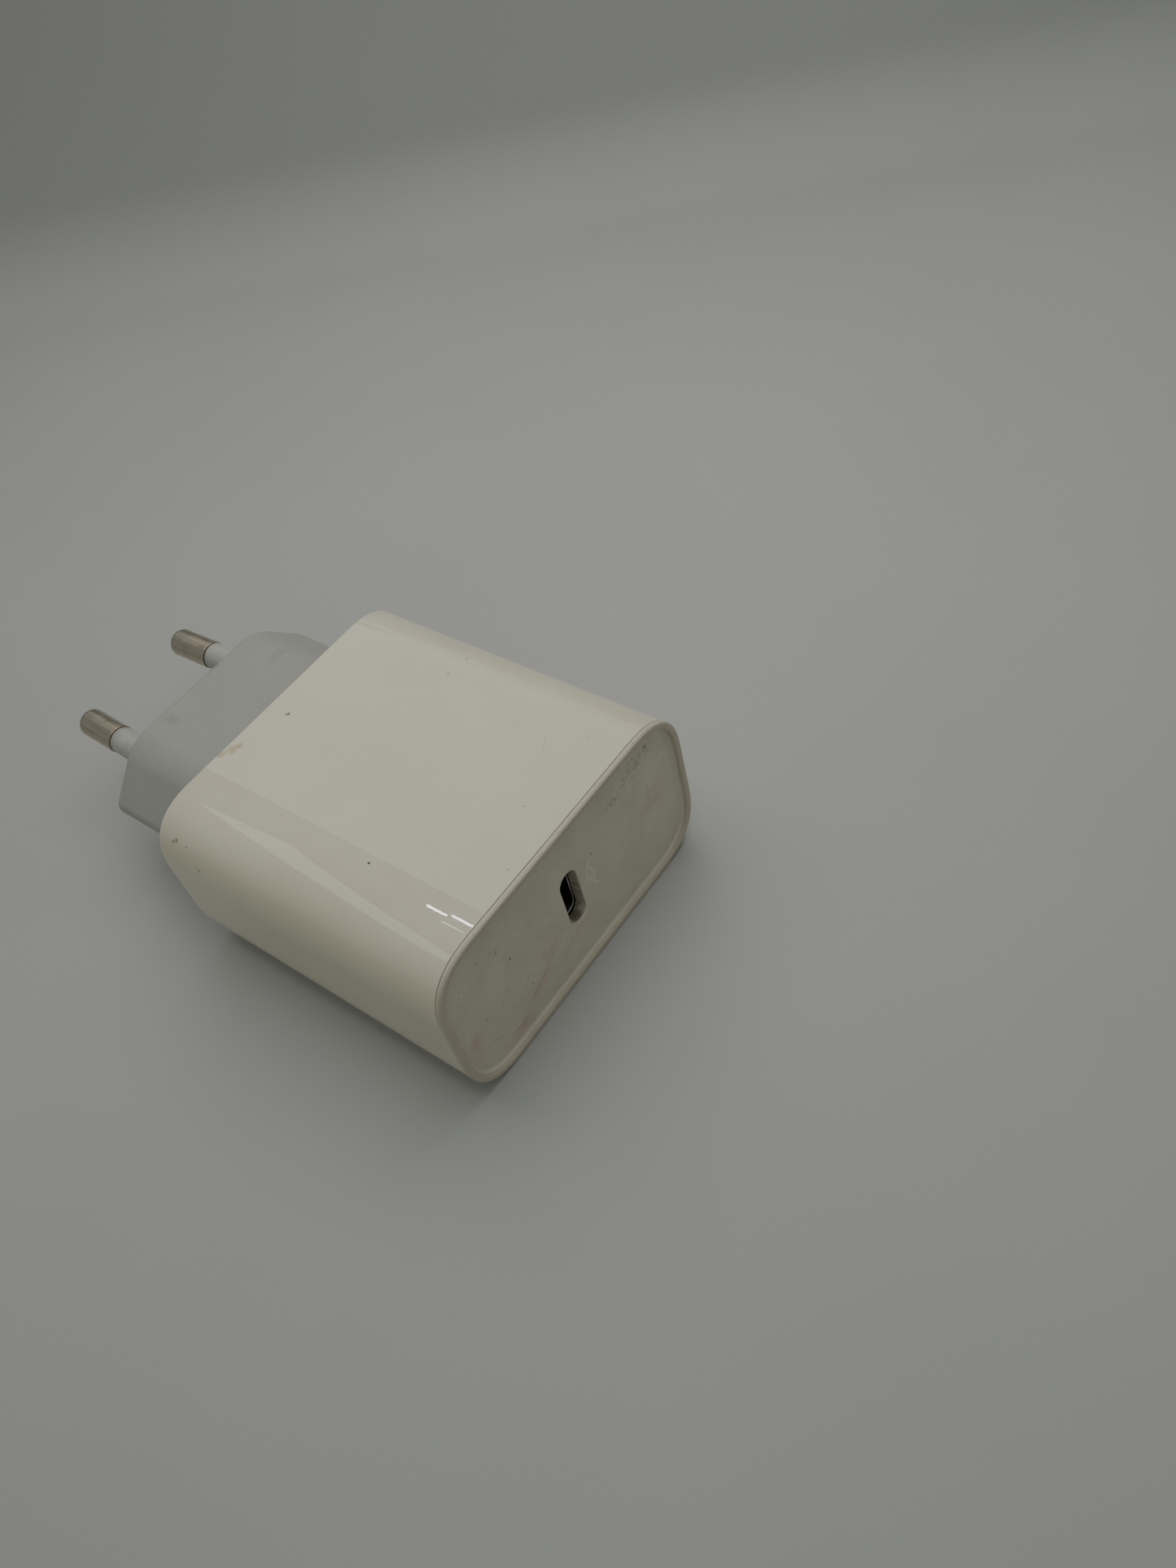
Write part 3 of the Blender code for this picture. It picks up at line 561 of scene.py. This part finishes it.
def make_finishes():
    """Every finish of the record, by its slot."""
    made = {
        "gloss_case": glossy_white(),
        "matte_cover": matte_cover(),
        "plug_grey": plug_grey(),
        "pin_sleeve": sleeve_white(),
        "nickel": nickel_plate(),
        "board_green": board_green(),
        "can_sleeve": sleeved_can(),
        "polymer_can": polymer_can(),
        "ferrite": ferrite(),
    }
    for slot, dark, bright, *rest in (
            ("spring_bronze", (0.55, 0.36, 0.16), (0.78, 0.56, 0.30), 0.2, (1, 0.1, 1)),
            ("socket_steel", (0.45, 0.44, 0.42), (0.68, 0.67, 0.65), 0.2, (1, 0.1, 1)),
            ("spreader_metal", (0.65, 0.65, 0.66), (0.82, 0.82, 0.83), 0.25, (1, 0.08, 1))):
        made[slot] = metal(slot, dark, bright, *rest)
    for slot, dark, bright, *rest in (
            ("socket_black", (0.012, 0.012, 0.012), (0.03, 0.03, 0.03), 0.35),
            ("chip_black", (0.015, 0.015, 0.017), (0.03, 0.03, 0.033), 0.45, 1.0, 0.02),
            ("fuse_black", (0.02, 0.02, 0.02), (0.04, 0.04, 0.04), 0.4),
            ("bobbin_black", (0.02, 0.02, 0.02), (0.04, 0.04, 0.04), 0.4),
            ("pad_grey", (0.36, 0.41, 0.46), (0.5, 0.55, 0.6), 0.75, 0.6, 0.04),
            ("barrier_film", (0.06, 0.06, 0.06), (0.12, 0.12, 0.12), 0.3, 4.0)):
        made[slot] = moulded(slot, dark, bright, *rest)
    for slot, dark, bright, edge in (
            ("thermistor_green", (0.03, 0.13, 0.08), (0.06, 0.2, 0.13), (0.02, 0.08, 0.05)),
            ("film_yellow", (0.72, 0.47, 0.05), (0.85, 0.60, 0.10), (0.5, 0.3, 0.04)),
            ("disc_blue", (0.03, 0.15, 0.42), (0.06, 0.24, 0.58), (0.02, 0.09, 0.28))):
        made[slot] = dipped(slot, dark, bright, edge)
    for slot, dark, bright, pitch, metallic in (
            ("winding_tape", (0.66, 0.43, 0.05), (0.82, 0.58, 0.09), TAPE_PITCH, 0.0),
            ("copper_wire", (0.58, 0.22, 0.08), (0.82, 0.40, 0.18), WIRE_PITCH, 1.0)):
        made[slot] = wound(slot, dark, bright, pitch, metallic)
    return made


# ------------------------------------------------------------------ shaping tools

def clear_selection():
    """Deselect everything, with no object active."""
    for obj in bpy.context.view_layer.objects:
        obj.select_set(False)
    bpy.context.view_layer.objects.active = None


def take(piece):
    """Make one piece the only selected and active one."""
    clear_selection()
    piece.select_set(True)
    bpy.context.view_layer.objects.active = piece


def open_piece(piece):
    """Enter edit mode on a piece, with nothing in it selected."""
    take(piece)
    bpy.ops.object.mode_set(mode="EDIT")
    bpy.ops.mesh.select_all(action="DESELECT")


def close_piece():
    """Leave edit mode."""
    bpy.ops.object.mode_set(mode="OBJECT")


def pick(kind, test):
    """Select the faces, edges or verts of the open piece that pass a test."""
    bpy.context.tool_settings.mesh_select_mode = (kind == "verts", kind == "edges", kind == "faces")
    bpy.ops.mesh.select_all(action="DESELECT")
    mesh = bpy.context.object.data
    shape = bmesh.from_edit_mesh(mesh)
    for item in getattr(shape, kind):
        if test(item):
            item.select_set(True)
    bmesh.update_edit_mesh(mesh)


def facing(axis, sign):
    """Test for faces that look along an axis."""
    return lambda face: sign * face.normal[axis] > 0.99


def running_along(axis):
    """Test for edges that lie along an axis."""
    def test(edge):
        run = edge.verts[0].co - edge.verts[1].co
        return abs(run[axis]) > 0.999 * run.length
    return test


def crease(test_place):
    """Test for sharp edges whose middle passes a test on its place."""
    def test(edge):
        if len(edge.link_faces) != 2 or edge.calc_face_angle() < SHARP:
            return False
        return test_place((edge.verts[0].co + edge.verts[1].co) / 2)
    return test


def wide_and_facing(axis, sign):
    """Test for the many-sided end faces that look along an axis."""
    return lambda face: len(face.verts) > 8 and sign * face.normal[axis] > 0.99


def inset(width):
    """Inset the picked faces by an even width."""
    bpy.ops.mesh.inset(thickness=width, use_even_offset=True, use_boundary=True)


def pull(x=0.0, y=0.0, z=0.0):
    """Extrude the picked faces along a direction."""
    bpy.ops.mesh.extrude_region_move(TRANSFORM_OT_translate={"value": (x, y, z)})


def round_edges(width, steps, profile=0.5):
    """Bevel the picked edges."""
    bpy.ops.mesh.bevel(offset=width, segments=steps, profile=profile, affect="EDGES",
                       clamp_overlap=False)


def start_box(name, low, high):
    """A box between two corners, to be shaped further."""
    low, high = Vector(low), Vector(high)
    clear_selection()
    bpy.ops.mesh.primitive_cube_add(size=1.0, location=(low + high) / 2, scale=high - low)
    return begin(name)


def start_round(name, radius, length, centre, turn=(0, 0, 0)):
    """A standing cylinder, or one turned over, to be shaped further."""
    clear_selection()
    bpy.ops.mesh.primitive_cylinder_add(vertices=ROUND_SIDES, radius=radius, depth=length,
                                        location=centre, rotation=turn)
    return begin(name)


def begin(name):
    """Name the primitive just added, and put its place into its mesh."""
    piece = bpy.context.object
    piece.name = piece.data.name = name
    bpy.ops.object.transform_apply(location=True, rotation=True, scale=True)
    return piece


def apply_modifier(piece, kind, **settings):
    """Add a modifier, set it and apply it."""
    modifier = piece.modifiers.new(kind.lower(), kind)
    for key, value in settings.items():
        setattr(modifier, key, value)
    take(piece)
    bpy.ops.object.modifier_apply(modifier=modifier.name)


def cut(piece, tool, operation="DIFFERENCE"):
    """Cut a tool out of a piece, or fuse it on with UNION; the tool is used up."""
    apply_modifier(piece, "BOOLEAN", operation=operation, object=tool, solver="EXACT")
    bpy.data.objects.remove(tool)


def repeated(first, places):
    """One piece made of a shape and its copies, each with its own mesh, moved to its place."""
    pieces = [first]
    for place in places[1:]:
        piece = first.copy()
        piece.data = first.data.copy()
        piece.data.transform(place)
        bpy.context.scene.collection.objects.link(piece)
        pieces.append(piece)
    first.data.transform(places[0])
    take(first)
    for piece in pieces:
        piece.select_set(True)
    bpy.ops.object.join()
    return first


def complete(piece, slot, *nodes):
    """Clean the mesh, smooth it, and give the piece its finish and its place in the frame."""
    open_piece(piece)
    bpy.ops.mesh.select_all(action="SELECT")
    bpy.ops.mesh.remove_doubles(threshold=WELD)
    bpy.ops.mesh.normals_make_consistent(inside=False)
    close_piece()
    bpy.ops.object.shade_smooth_by_angle(angle=SMOOTH)
    apply_modifier(piece, "WEIGHTED_NORMAL", keep_sharp=True)
    piece.data.materials.clear()
    piece.data.materials.append(finishes[slot])
    if nodes:
        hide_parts(*nodes)
    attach(piece, "root")


# ------------------------------------------------------------------ case

def case_bar(name, front, back, drop=0.0):
    """A bar with the case's outline, drop smaller all round."""
    piece = start_box(name, (case_low.x + drop, front, case_low.z + drop),
                      (case_high.x - drop, back, case_high.z - drop))
    open_piece(piece)
    pick("edges", running_along(1))
    round_edges(CORNER - drop, CORNER_STEPS, CORNER_PROFILE)
    close_piece()
    return piece


def slot_bar(name, width, height, front, back):
    """A bar with a standing slot's outline, its ends full half-rounds."""
    piece = start_box(name, (-width / 2, front, MID - height / 2),
                      (width / 2, back, MID + height / 2))
    open_piece(piece)
    pick("edges", running_along(1))
    round_edges(width / 2 - NEAR, 12)
    close_piece()
    return piece


def make_shell():
    """The open-ended shell, with a stepped mouth for the cover."""
    piece = case_bar("case_shell", case_low.y, SHELL_END)
    open_piece(piece)
    pick("faces", facing(1, -1))
    inset(LIP)
    pull(y=LIP_DEPTH)
    inset(CASE_WALL - LIP)
    pick("faces", facing(1, 1))
    inset(CASE_WALL)
    pick("faces", lambda face: len(face.verts) > 8)
    bpy.ops.mesh.bridge_edge_loops()
    pick("edges", crease(lambda middle: middle.y > SHELL_END - NEAR))
    round_edges(REAR_EDGE, 4)
    pick("edges", crease(lambda middle: middle.y < case_low.y + NEAR))
    round_edges(MOUTH_EDGE, 2)
    close_piece()
    return piece


def make_cover():
    """The front cover: a raised rim, a recessed plate with the port's slot, a skirt behind."""
    plate = FRONT + RECESS
    piece = case_bar("front_cover_detailed", FRONT, FRONT + RIM_DEPTH)
    open_piece(piece)
    pick("faces", facing(1, 1))
    inset(LAP)
    pull(y=RECESS + PLATE - RIM_DEPTH)
    inset(SKIRT_INSET)
    pull(y=SKIRT_LENGTH)
    inset(SKIRT)
    pull(y=-SKIRT_LENGTH)
    pick("faces", wide_and_facing(1, -1))
    inset(RIM_WIDTH)
    pull(y=RECESS)
    pick("edges", crease(lambda middle: middle.y < FRONT + NEAR))
    round_edges(RIM_EDGE, 4)
    pick("edges", crease(lambda middle: abs(middle.y - plate) < NEAR and round_plate(middle)))
    round_edges(RECESS_FILLET, 6)
    close_piece()
    cut(piece, slot_bar("port_cutter", PORT_WIDTH, PORT_HEIGHT, FRONT - MM,
                        plate + PLATE + 5 * MM))
    open_piece(piece)
    pick("edges", crease(lambda middle: abs(middle.y - plate) < NEAR and near_port(middle)))
    round_edges(PORT_EDGE, 3)
    close_piece()
    return piece


def near_port(middle):
    """Test for a place at the port's slot."""
    return abs(middle.x) < PORT_WIDTH and abs(middle.z - MID) < PORT_HEIGHT


def round_plate(middle):
    """Test for a place at the plate's edge, well away from the port."""
    return abs(middle.x) > PORT_CLEAR or abs(middle.z - MID) > PORT_CLEAR


def plug_bar(name, front, back, drop=0.0):
    """The plug's six-sided outline with 45 degree flanks and soft shoulders."""
    half = PLUG_HEIGHT / 2 - drop
    shoulder = SHOULDER_X - drop * HALF_CORNER
    piece = start_box(name, (-shoulder, front, MID - half), (shoulder, back, MID + half))
    open_piece(piece)
    for sign in (-1, 1):
        pick("faces", facing(0, sign))
        pull(x=sign * half)
        bpy.ops.transform.resize(value=(1, 1, 0))
    bpy.ops.mesh.select_all(action="SELECT")
    bpy.ops.mesh.remove_doubles(threshold=WELD)
    for reach, radius, share in ((shoulder, SHOULDER_RADIUS, HALF_CORNER),
                                 (shoulder + half, TIP_RADIUS, 1.0)):
        pick("edges", lambda edge: running_along(1)(edge)
             and abs(abs(edge.verts[0].co.x) - reach) < NEAR)
        round_edges(max(radius - drop, 0.3 * MM) * share, 10)
    close_piece()
    return piece


def make_plug():
    """The plug's body on its rear panel, hollow inside, with a stepped hole for each pin."""
    panel_face = SHELL_END - REAR_RECESS
    panel_back = panel_face - REAR_PLATE
    piece = case_bar("plug_housing_detailed", panel_back, panel_face, CASE_WALL + PANEL_GAP)
    open_piece(piece)
    pick("faces", facing(1, -1))
    inset(SKIRT)
    pick("faces", lambda face: face.normal.y < -0.99 and len(face.verts) <= 8)
    pull(y=-SKIRT_LENGTH)
    close_piece()
    body = plug_bar("plug_body", panel_face - MM, PLUG_FACE)
    open_piece(body)
    pick("edges", crease(lambda middle: middle.y > PLUG_FACE - NEAR))
    round_edges(PLUG_EDGE, 5)
    close_piece()
    cut(piece, body, "UNION")
    cut(piece, plug_bar("plug_hollow", panel_back - MM, PLUG_FACE - PLUG_FLOOR, PLUG_WALL))
    for side in (-1, 1):
        for radius, start, end in ((SLEEVE_RADIUS, -SLEEVE_ROOT - SLEEVE_GAP, MM),
                                   (NECK_RADIUS, -PIN_TAIL, -SLEEVE_ROOT)):
            hole = start_pin_round("pin_hole", radius + SLEEVE_GAP, start, end)
            cut(piece, on_pin_axis(hole, side))
    return piece


# ------------------------------------------------------------------ port

SOCKET_WALL = 0.3 * MM
SOCKET_EDGE = 0.13 * MM
CONTACT_PITCH = 0.5 * MM
CONTACT_COUNT = 12
CONTACT_HALF = (0.05 * MM, 0.14 * MM)
TONGUE_HALF = 0.35 * MM
TONGUE_HEIGHT = 6.7 * MM
TONGUE_LENGTH = 4.6 * MM
TONGUE_NOSE = 0.16 * MM


def make_socket():
    """A drawn steel shell, its mouth rolled over."""
    low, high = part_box("usb_socket_shell")
    piece = slot_bar("socket_shell_detailed", high.x - low.x, high.z - low.z, low.y, high.y)
    open_piece(piece)
    pick("faces", lambda face: abs(face.normal.y) > 0.99)
    inset(SOCKET_WALL)
    pick("faces", lambda face: len(face.verts) > 8)
    bpy.ops.mesh.bridge_edge_loops()
    pick("edges", crease(lambda middle: middle.y < low.y + NEAR))
    round_edges(SOCKET_EDGE, 4)
    close_piece()
    return piece


def make_tongue():
    """The black insulator and its blade, which has a rounded nose and a raised root."""
    low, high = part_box("usb_socket_tongue")
    root = low.y + TONGUE_LENGTH
    piece = slot_bar("socket_tongue_detailed", high.x - low.x, high.z - low.z, root, high.y)
    open_piece(piece)
    pick("edges", crease(lambda middle: abs(middle.y - root) < NEAR))
    round_edges(0.1 * MM, 2)
    close_piece()
    blade = start_box("blade", (-TONGUE_HALF, low.y, MID - TONGUE_HEIGHT / 2),
                      (TONGUE_HALF, root + 0.5 * MM, MID + TONGUE_HEIGHT / 2))
    open_piece(blade)
    pick("edges", lambda edge: max(vert.co.y for vert in edge.verts) < low.y + NEAR)
    round_edges(TONGUE_NOSE, 3)
    close_piece()
    cut(piece, blade, "UNION")
    return piece


def make_contacts():
    """Two rows of gilded strips on the blade, one strip copied along each row."""
    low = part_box("usb_socket_tongue")[0]
    thick, wide = CONTACT_HALF
    strip = start_box("socket_contacts", (-thick, low.y + 0.4 * MM, -wide),
                      (thick, low.y + TONGUE_LENGTH - 0.2 * MM, wide))
    open_piece(strip)
    pick("edges", running_along(1))
    round_edges(thick / 2, 2)
    close_piece()
    first = MID - (CONTACT_COUNT - 1) / 2 * CONTACT_PITCH
    return repeated(strip, [
        Matrix.Translation((side * TONGUE_HALF, 0, first + number * CONTACT_PITCH))
        for side in (-1, 1) for number in range(CONTACT_COUNT)])


# ------------------------------------------------------------------ inner parts

CAN_GROOVE = 1.5 * MM
CAN_SHOULDER = 0.35 * MM
SCORE_HALF = 0.09 * MM
LEG_HALF = (0.2 * MM, 0.07 * MM)
LEG_REACH = 0.35 * MM
LEG_ROOT = 0.1 * MM
LEG_RISE = 0.38 * MM


def make_can(name, node, scored):
    """A capacitor can: rolled groove near its foot, rounded shoulder, sunk top, vent score."""
    low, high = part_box(node)
    middle = (low + high) / 2
    radius = (high.x - low.x) / 2
    piece = start_round(name, radius, high.z - low.z, middle)
    groove = low.z + CAN_GROOVE
    open_piece(piece)
    for height in (-0.5 * MM, 0.0, 0.5 * MM):
        bpy.ops.mesh.select_all(action="SELECT")
        bpy.ops.mesh.bisect(plane_co=(0, 0, groove + height), plane_no=(0, 0, 1))
    pick("edges", lambda edge: all(abs(vert.co.z - groove) < NEAR for vert in edge.verts))
    bpy.ops.transform.resize(value=(0.92, 0.92, 1), center_override=middle)
    round_edges(0.2 * MM, 3)
    pick("edges", crease(lambda place: place.z > high.z - NEAR))
    round_edges(CAN_SHOULDER, 4)
    pick("faces", wide_and_facing(2, 1))
    inset(0.45 * MM)
    pull(z=-0.12 * MM)
    close_piece()
    if scored:
        reach = Vector((0.55 * radius, SCORE_HALF, 0.2 * MM))
        crown = Vector((middle.x, middle.y, high.z))
        for turn in (0, 90):
            score = start_box("score", crown - reach, crown + reach)
            place = Matrix.Translation(middle) @ Matrix.Rotation(math.radians(turn), 4, "Z")
            score.data.transform(place @ Matrix.Translation(-middle))
            cut(piece, score)
    return piece


def make_turns(name, node, pitch):
    """A wound coil: round wire turns side by side, spun from one row of wire sections."""
    low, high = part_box(node)
    middle = (low + high) / 2
    radius = pitch / 2
    count = int((high.z - low.z) / pitch)
    first = middle.z - (count - 1) / 2 * pitch
    clear_selection()
    bpy.ops.mesh.primitive_circle_add(vertices=10, radius=radius * 0.98, fill_type="NOTHING",
                                      location=(high.x - radius, middle.y, first),
                                      rotation=(math.pi / 2, 0, 0))
    turn = begin(name)
    open_piece(turn)
    bpy.ops.mesh.select_all(action="SELECT")
    bpy.ops.mesh.spin(steps=40, angle=2 * math.pi, center=middle, axis=(0, 0, 1))
    bpy.ops.mesh.select_all(action="SELECT")
    bpy.ops.mesh.remove_doubles(threshold=WELD)
    close_piece()
    return repeated(turn, [Matrix.Translation((0, 0, number * pitch)) for number in range(count)])


def make_legs(name, node, across, count, pitch, toward):
    """Gull-wing legs along two sides of a chip, one leg bent and copied."""
    low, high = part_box(node)
    middle = (low + high) / 2
    foot = (high.z if toward > 0 else low.z) - LEG_RISE * toward
    depth = (high.x - low.x if across == "x" else high.y - low.y) / 2 - LEG_ROOT
    wide, thick = LEG_HALF
    leg = start_box(name, (0, -wide, -thick), (LEG_REACH, wide, thick))
    open_piece(leg)
    pick("faces", facing(0, 1))
    pull(x=0.25 * MM, z=0.25 * MM * toward)
    pull(x=0.3 * MM)
    pick("edges", running_along(1))
    round_edges(0.02 * MM, 1)
    close_piece()
    places = []
    for spin in {"x": (180, 0), "y": (-90, 90)}[across]:
        turned = Matrix.Translation((middle.x, middle.y, foot)) @ Matrix.Rotation(
            math.radians(spin), 4, "Z")
        for number in range(count):
            shift = (number - (count - 1) / 2) * pitch
            places.append(turned @ Matrix.Translation((depth, shift, 0)))
    return repeated(leg, places)


# ------------------------------------------------------------------ pins

def start_pin_round(name, radius, start, end):
    """A round along Y between two distances from the plug's face."""
    return start_round(name, radius, end - start, (0, (start + end) / 2, 0),
                       (-math.pi / 2, 0, 0))


def on_pin_axis(piece, side):
    """Move a round from the Y axis to its pin's axis, which leans in towards the other pin."""
    place = Matrix.Translation((side * PIN_SPACING / 2, PLUG_FACE, MID))
    piece.data.transform(place @ Matrix.Rotation(side * PIN_LEAN, 4, "Z"))
    return piece


def make_pin(side, word):
    """A bare round tip with a long neck that runs back through the sleeve."""
    tip_start = SLEEVE_LENGTH + SLEEVE_GAP
    piece = start_pin_round("pin_" + word, PIN_RADIUS, tip_start, PIN_LENGTH)
    open_piece(piece)
    pick("edges", crease(lambda middle: middle.y > PIN_LENGTH - NEAR))
    round_edges(MM, 6)
    pick("faces", facing(1, -1))
    inset(PIN_RADIUS - NECK_RADIUS)
    pull(y=-tip_start - PIN_TAIL)
    pick("edges", crease(lambda middle: abs(middle.y - tip_start) < NEAR))
    round_edges(PIN_STEP_EDGE, 2)
    close_piece()
    return on_pin_axis(piece, side)


def make_sleeve(side, word):
    """The insulating tube round a pin's neck."""
    piece = start_pin_round("sleeve_" + word, SLEEVE_RADIUS, -SLEEVE_ROOT, SLEEVE_LENGTH)
    open_piece(piece)
    pick("faces", lambda face: abs(face.normal.y) > 0.99)
    inset(SLEEVE_RADIUS - NECK_RADIUS - SLEEVE_GAP)
    bpy.ops.mesh.bridge_edge_loops()
    pick("edges", crease(lambda middle: middle.y > SLEEVE_LENGTH - NEAR))
    round_edges(PIN_STEP_EDGE, 2)
    close_piece()
    return on_pin_axis(piece, side)


# ------------------------------------------------------------------ stage

WALL_TURN = math.radians(35.6)
FLOOR_SIZE = (20.0, 40.0)
FOLD = 0.172
LOW_WALL = (0.02, 0, 0.08)
HIGH_WALL = (0.7, 0, 0.33)
PANEL_HEIGHT = 0.3
WARM = (1.0, 0.95, 0.86)


def make_stage():
    """A pale paper floor that folds up into a back wall and leans away above it."""
    clear_selection()
    bpy.ops.mesh.primitive_plane_add(size=1.0, location=(0, 0, 0))
    floor = begin("paper_floor")
    open_piece(floor)
    bpy.ops.mesh.select_all(action="SELECT")
    bpy.ops.transform.resize(value=(*FLOOR_SIZE, 1.0))
    bpy.ops.transform.translate(value=(FOLD - FLOOR_SIZE[0] / 2, 0, 0))
    pick("edges", lambda edge: min(vert.co.x for vert in edge.verts) > FOLD - MM)
    for reach in (LOW_WALL, HIGH_WALL):
        bpy.ops.mesh.extrude_edges_move(TRANSFORM_OT_translate={"value": reach})
    pick("edges", lambda edge: all(abs(vert.co.x - FOLD) < MM for vert in edge.verts))
    round_edges(18 * MM, 12)
    pick("edges", lambda edge: all(abs(vert.co.z - LOW_WALL[2]) < MM for vert in edge.verts))
    round_edges(20 * MM, 6)
    bpy.ops.mesh.select_all(action="SELECT")
    bpy.ops.transform.rotate(value=-WALL_TURN, orient_axis="Z", center_override=(0, 0, 0))
    bpy.ops.mesh.normals_make_consistent(inside=False)
    close_piece()
    bpy.ops.object.shade_smooth()
    f = Finish("paper")
    cloud = f.noise(60 * MM, 3.0)
    colour = f.mix(f.fade(cloud, 0.3, 0.7), (0.442, 0.450, 0.424), (0.458, 0.466, 0.440))
    # Painted shade: the paper is coloured darker up the back wall, standing in for the shade there.
    reach = f.axis("X") * math.cos(WALL_TURN) + f.axis("Y") * math.sin(WALL_TURN)
    wall = f.fade(reach, FOLD - 12 * MM, FOLD + 20 * MM)
    colour = f.mix(wall, colour, (0.345, 0.35, 0.34))
    f.shade(Base_Color=colour, Roughness=0.6)
    floor.data.materials.append(f.material)


def soft_light(name, place, size, power, turn=0.0, colour=(1, 1, 1)):
    """A rectangular lamp that shines straight down, turned about the vertical."""
    data = bpy.data.lights.new(name, "AREA")
    data.shape = "RECTANGLE"
    data.size, data.size_y = size
    data.energy = power
    data.color = colour
    light = bpy.data.objects.new(name, data)
    light.location = place
    light.rotation_euler = (0, 0, math.radians(turn))
    bpy.context.scene.collection.objects.link(light)


def make_lights():
    """An overhead softbox, a wide panel and a slanted one behind, and three short bright strips."""
    soft_light("overhead_softbox", (0.064, -0.014, 0.2), (0.23, 0.15), 0.155)
    for name, x, y, size, power, turn in (
            ("rear_panel", 0.211, 0.23, (0.218, 0.21), 0.172, 0),
            ("far_panel", 0.41, 0.275, (0.18, 0.3), 0.119, 0),
            ("slanted_panel", -0.035, 0.192, (0.19, 0.06), 0.058, 38)):
        soft_light(name, (x, y, PANEL_HEIGHT), size, power, turn, WARM)
    make_strips()
    world = bpy.data.worlds.new("studio_air")
    world.use_nodes = True
    world.node_tree.nodes["Background"].inputs["Color"].default_value = (0.96, 1.0, 0.98, 1)
    world.node_tree.nodes["Background"].inputs["Strength"].default_value = 0.28
    bpy.context.scene.world = world


STRIP_DROP = 10 * MM
STRIP_WIDTH = 0.8 * MM
STRIP_POWER = 0.0011


def make_strips():
    """Three strip lamps, each placed to glint on the top between two distances from the front."""
    rise = PANEL_HEIGHT - TOP - STRIP_DROP
    camera = bpy.context.scene.camera.location
    for number, (x, across, near, far) in enumerate(((-13.8, 0.391, 4.1, 6.9),
                                                     (-13.5, 0.394, 0.6, 3.6),
                                                     (-14.6, 0.340, 0.5, 3.2))):
        ends = []
        for y in (near, far):
            glint = at(x, y, 0)
            slope = (glint.y - camera.y) / (camera.z - TOP)
            ends.append(glint + Vector((across * rise, slope * rise, TOP + rise)))
        soft_light("strip_lamp_%d" % number, (ends[0] + ends[1]) / 2,
                   (STRIP_WIDTH, (ends[1] - ends[0]).length), STRIP_POWER)


# ------------------------------------------------------------------ assembly

place_camera()
make_stage()
make_lights()
finishes = make_finishes()
for material in frame["record"]["materials"]:
    for node in frame["nodes"].values():
        if node.data.materials and node.data.materials[0].name.startswith(material["slot"]):
            node.data.materials[0] = finishes[material["slot"]]

complete(make_shell(), "gloss_case", "main_shell")
complete(make_cover(), "matte_cover", "front_cover")
complete(make_plug(), "plug_grey", "plug_housing")
for side, word in ((-1, "left"), (1, "right")):
    complete(make_pin(side, word), "nickel", "mains_pin_" + word)
    complete(make_sleeve(side, word), "pin_sleeve", "pin_sleeve_" + word)

complete(make_socket(), "socket_steel", "usb_socket_shell")
complete(make_tongue(), "socket_black", "usb_socket_tongue")
complete(make_contacts(), "spring_bronze")
for name, node, scored, slot in (
        ("bulk_can_front", "bulk_capacitor_front", True, "can_sleeve"),
        ("bulk_can_rear", "bulk_capacitor_rear", True, "can_sleeve"),
        ("output_can_inner", "output_capacitor_inner", False, "polymer_can"),
        ("output_can_outer", "output_capacitor_outer", False, "polymer_can")):
    complete(make_can(name, node, scored), slot, node)
complete(make_turns("choke_turns", "choke_winding", WIRE_PITCH), "copper_wire", "choke_winding")
for name, node, across, count, pitch, toward in (
        ("controller_legs", "switching_controller_chip", "x", 4, 1.27 * MM, 1),
        ("rectifier_legs", "output_rectifier_chip", "y", 3, 1.27 * MM, 1),
        ("optocoupler_legs", "feedback_optocoupler", "y", 2, 2.54 * MM, 1),
        ("bridge_legs", "bridge_rectifier", "x", 2, 3.8 * MM, -1)):
    complete(make_legs(name, node, across, count, pitch, toward), "socket_steel")
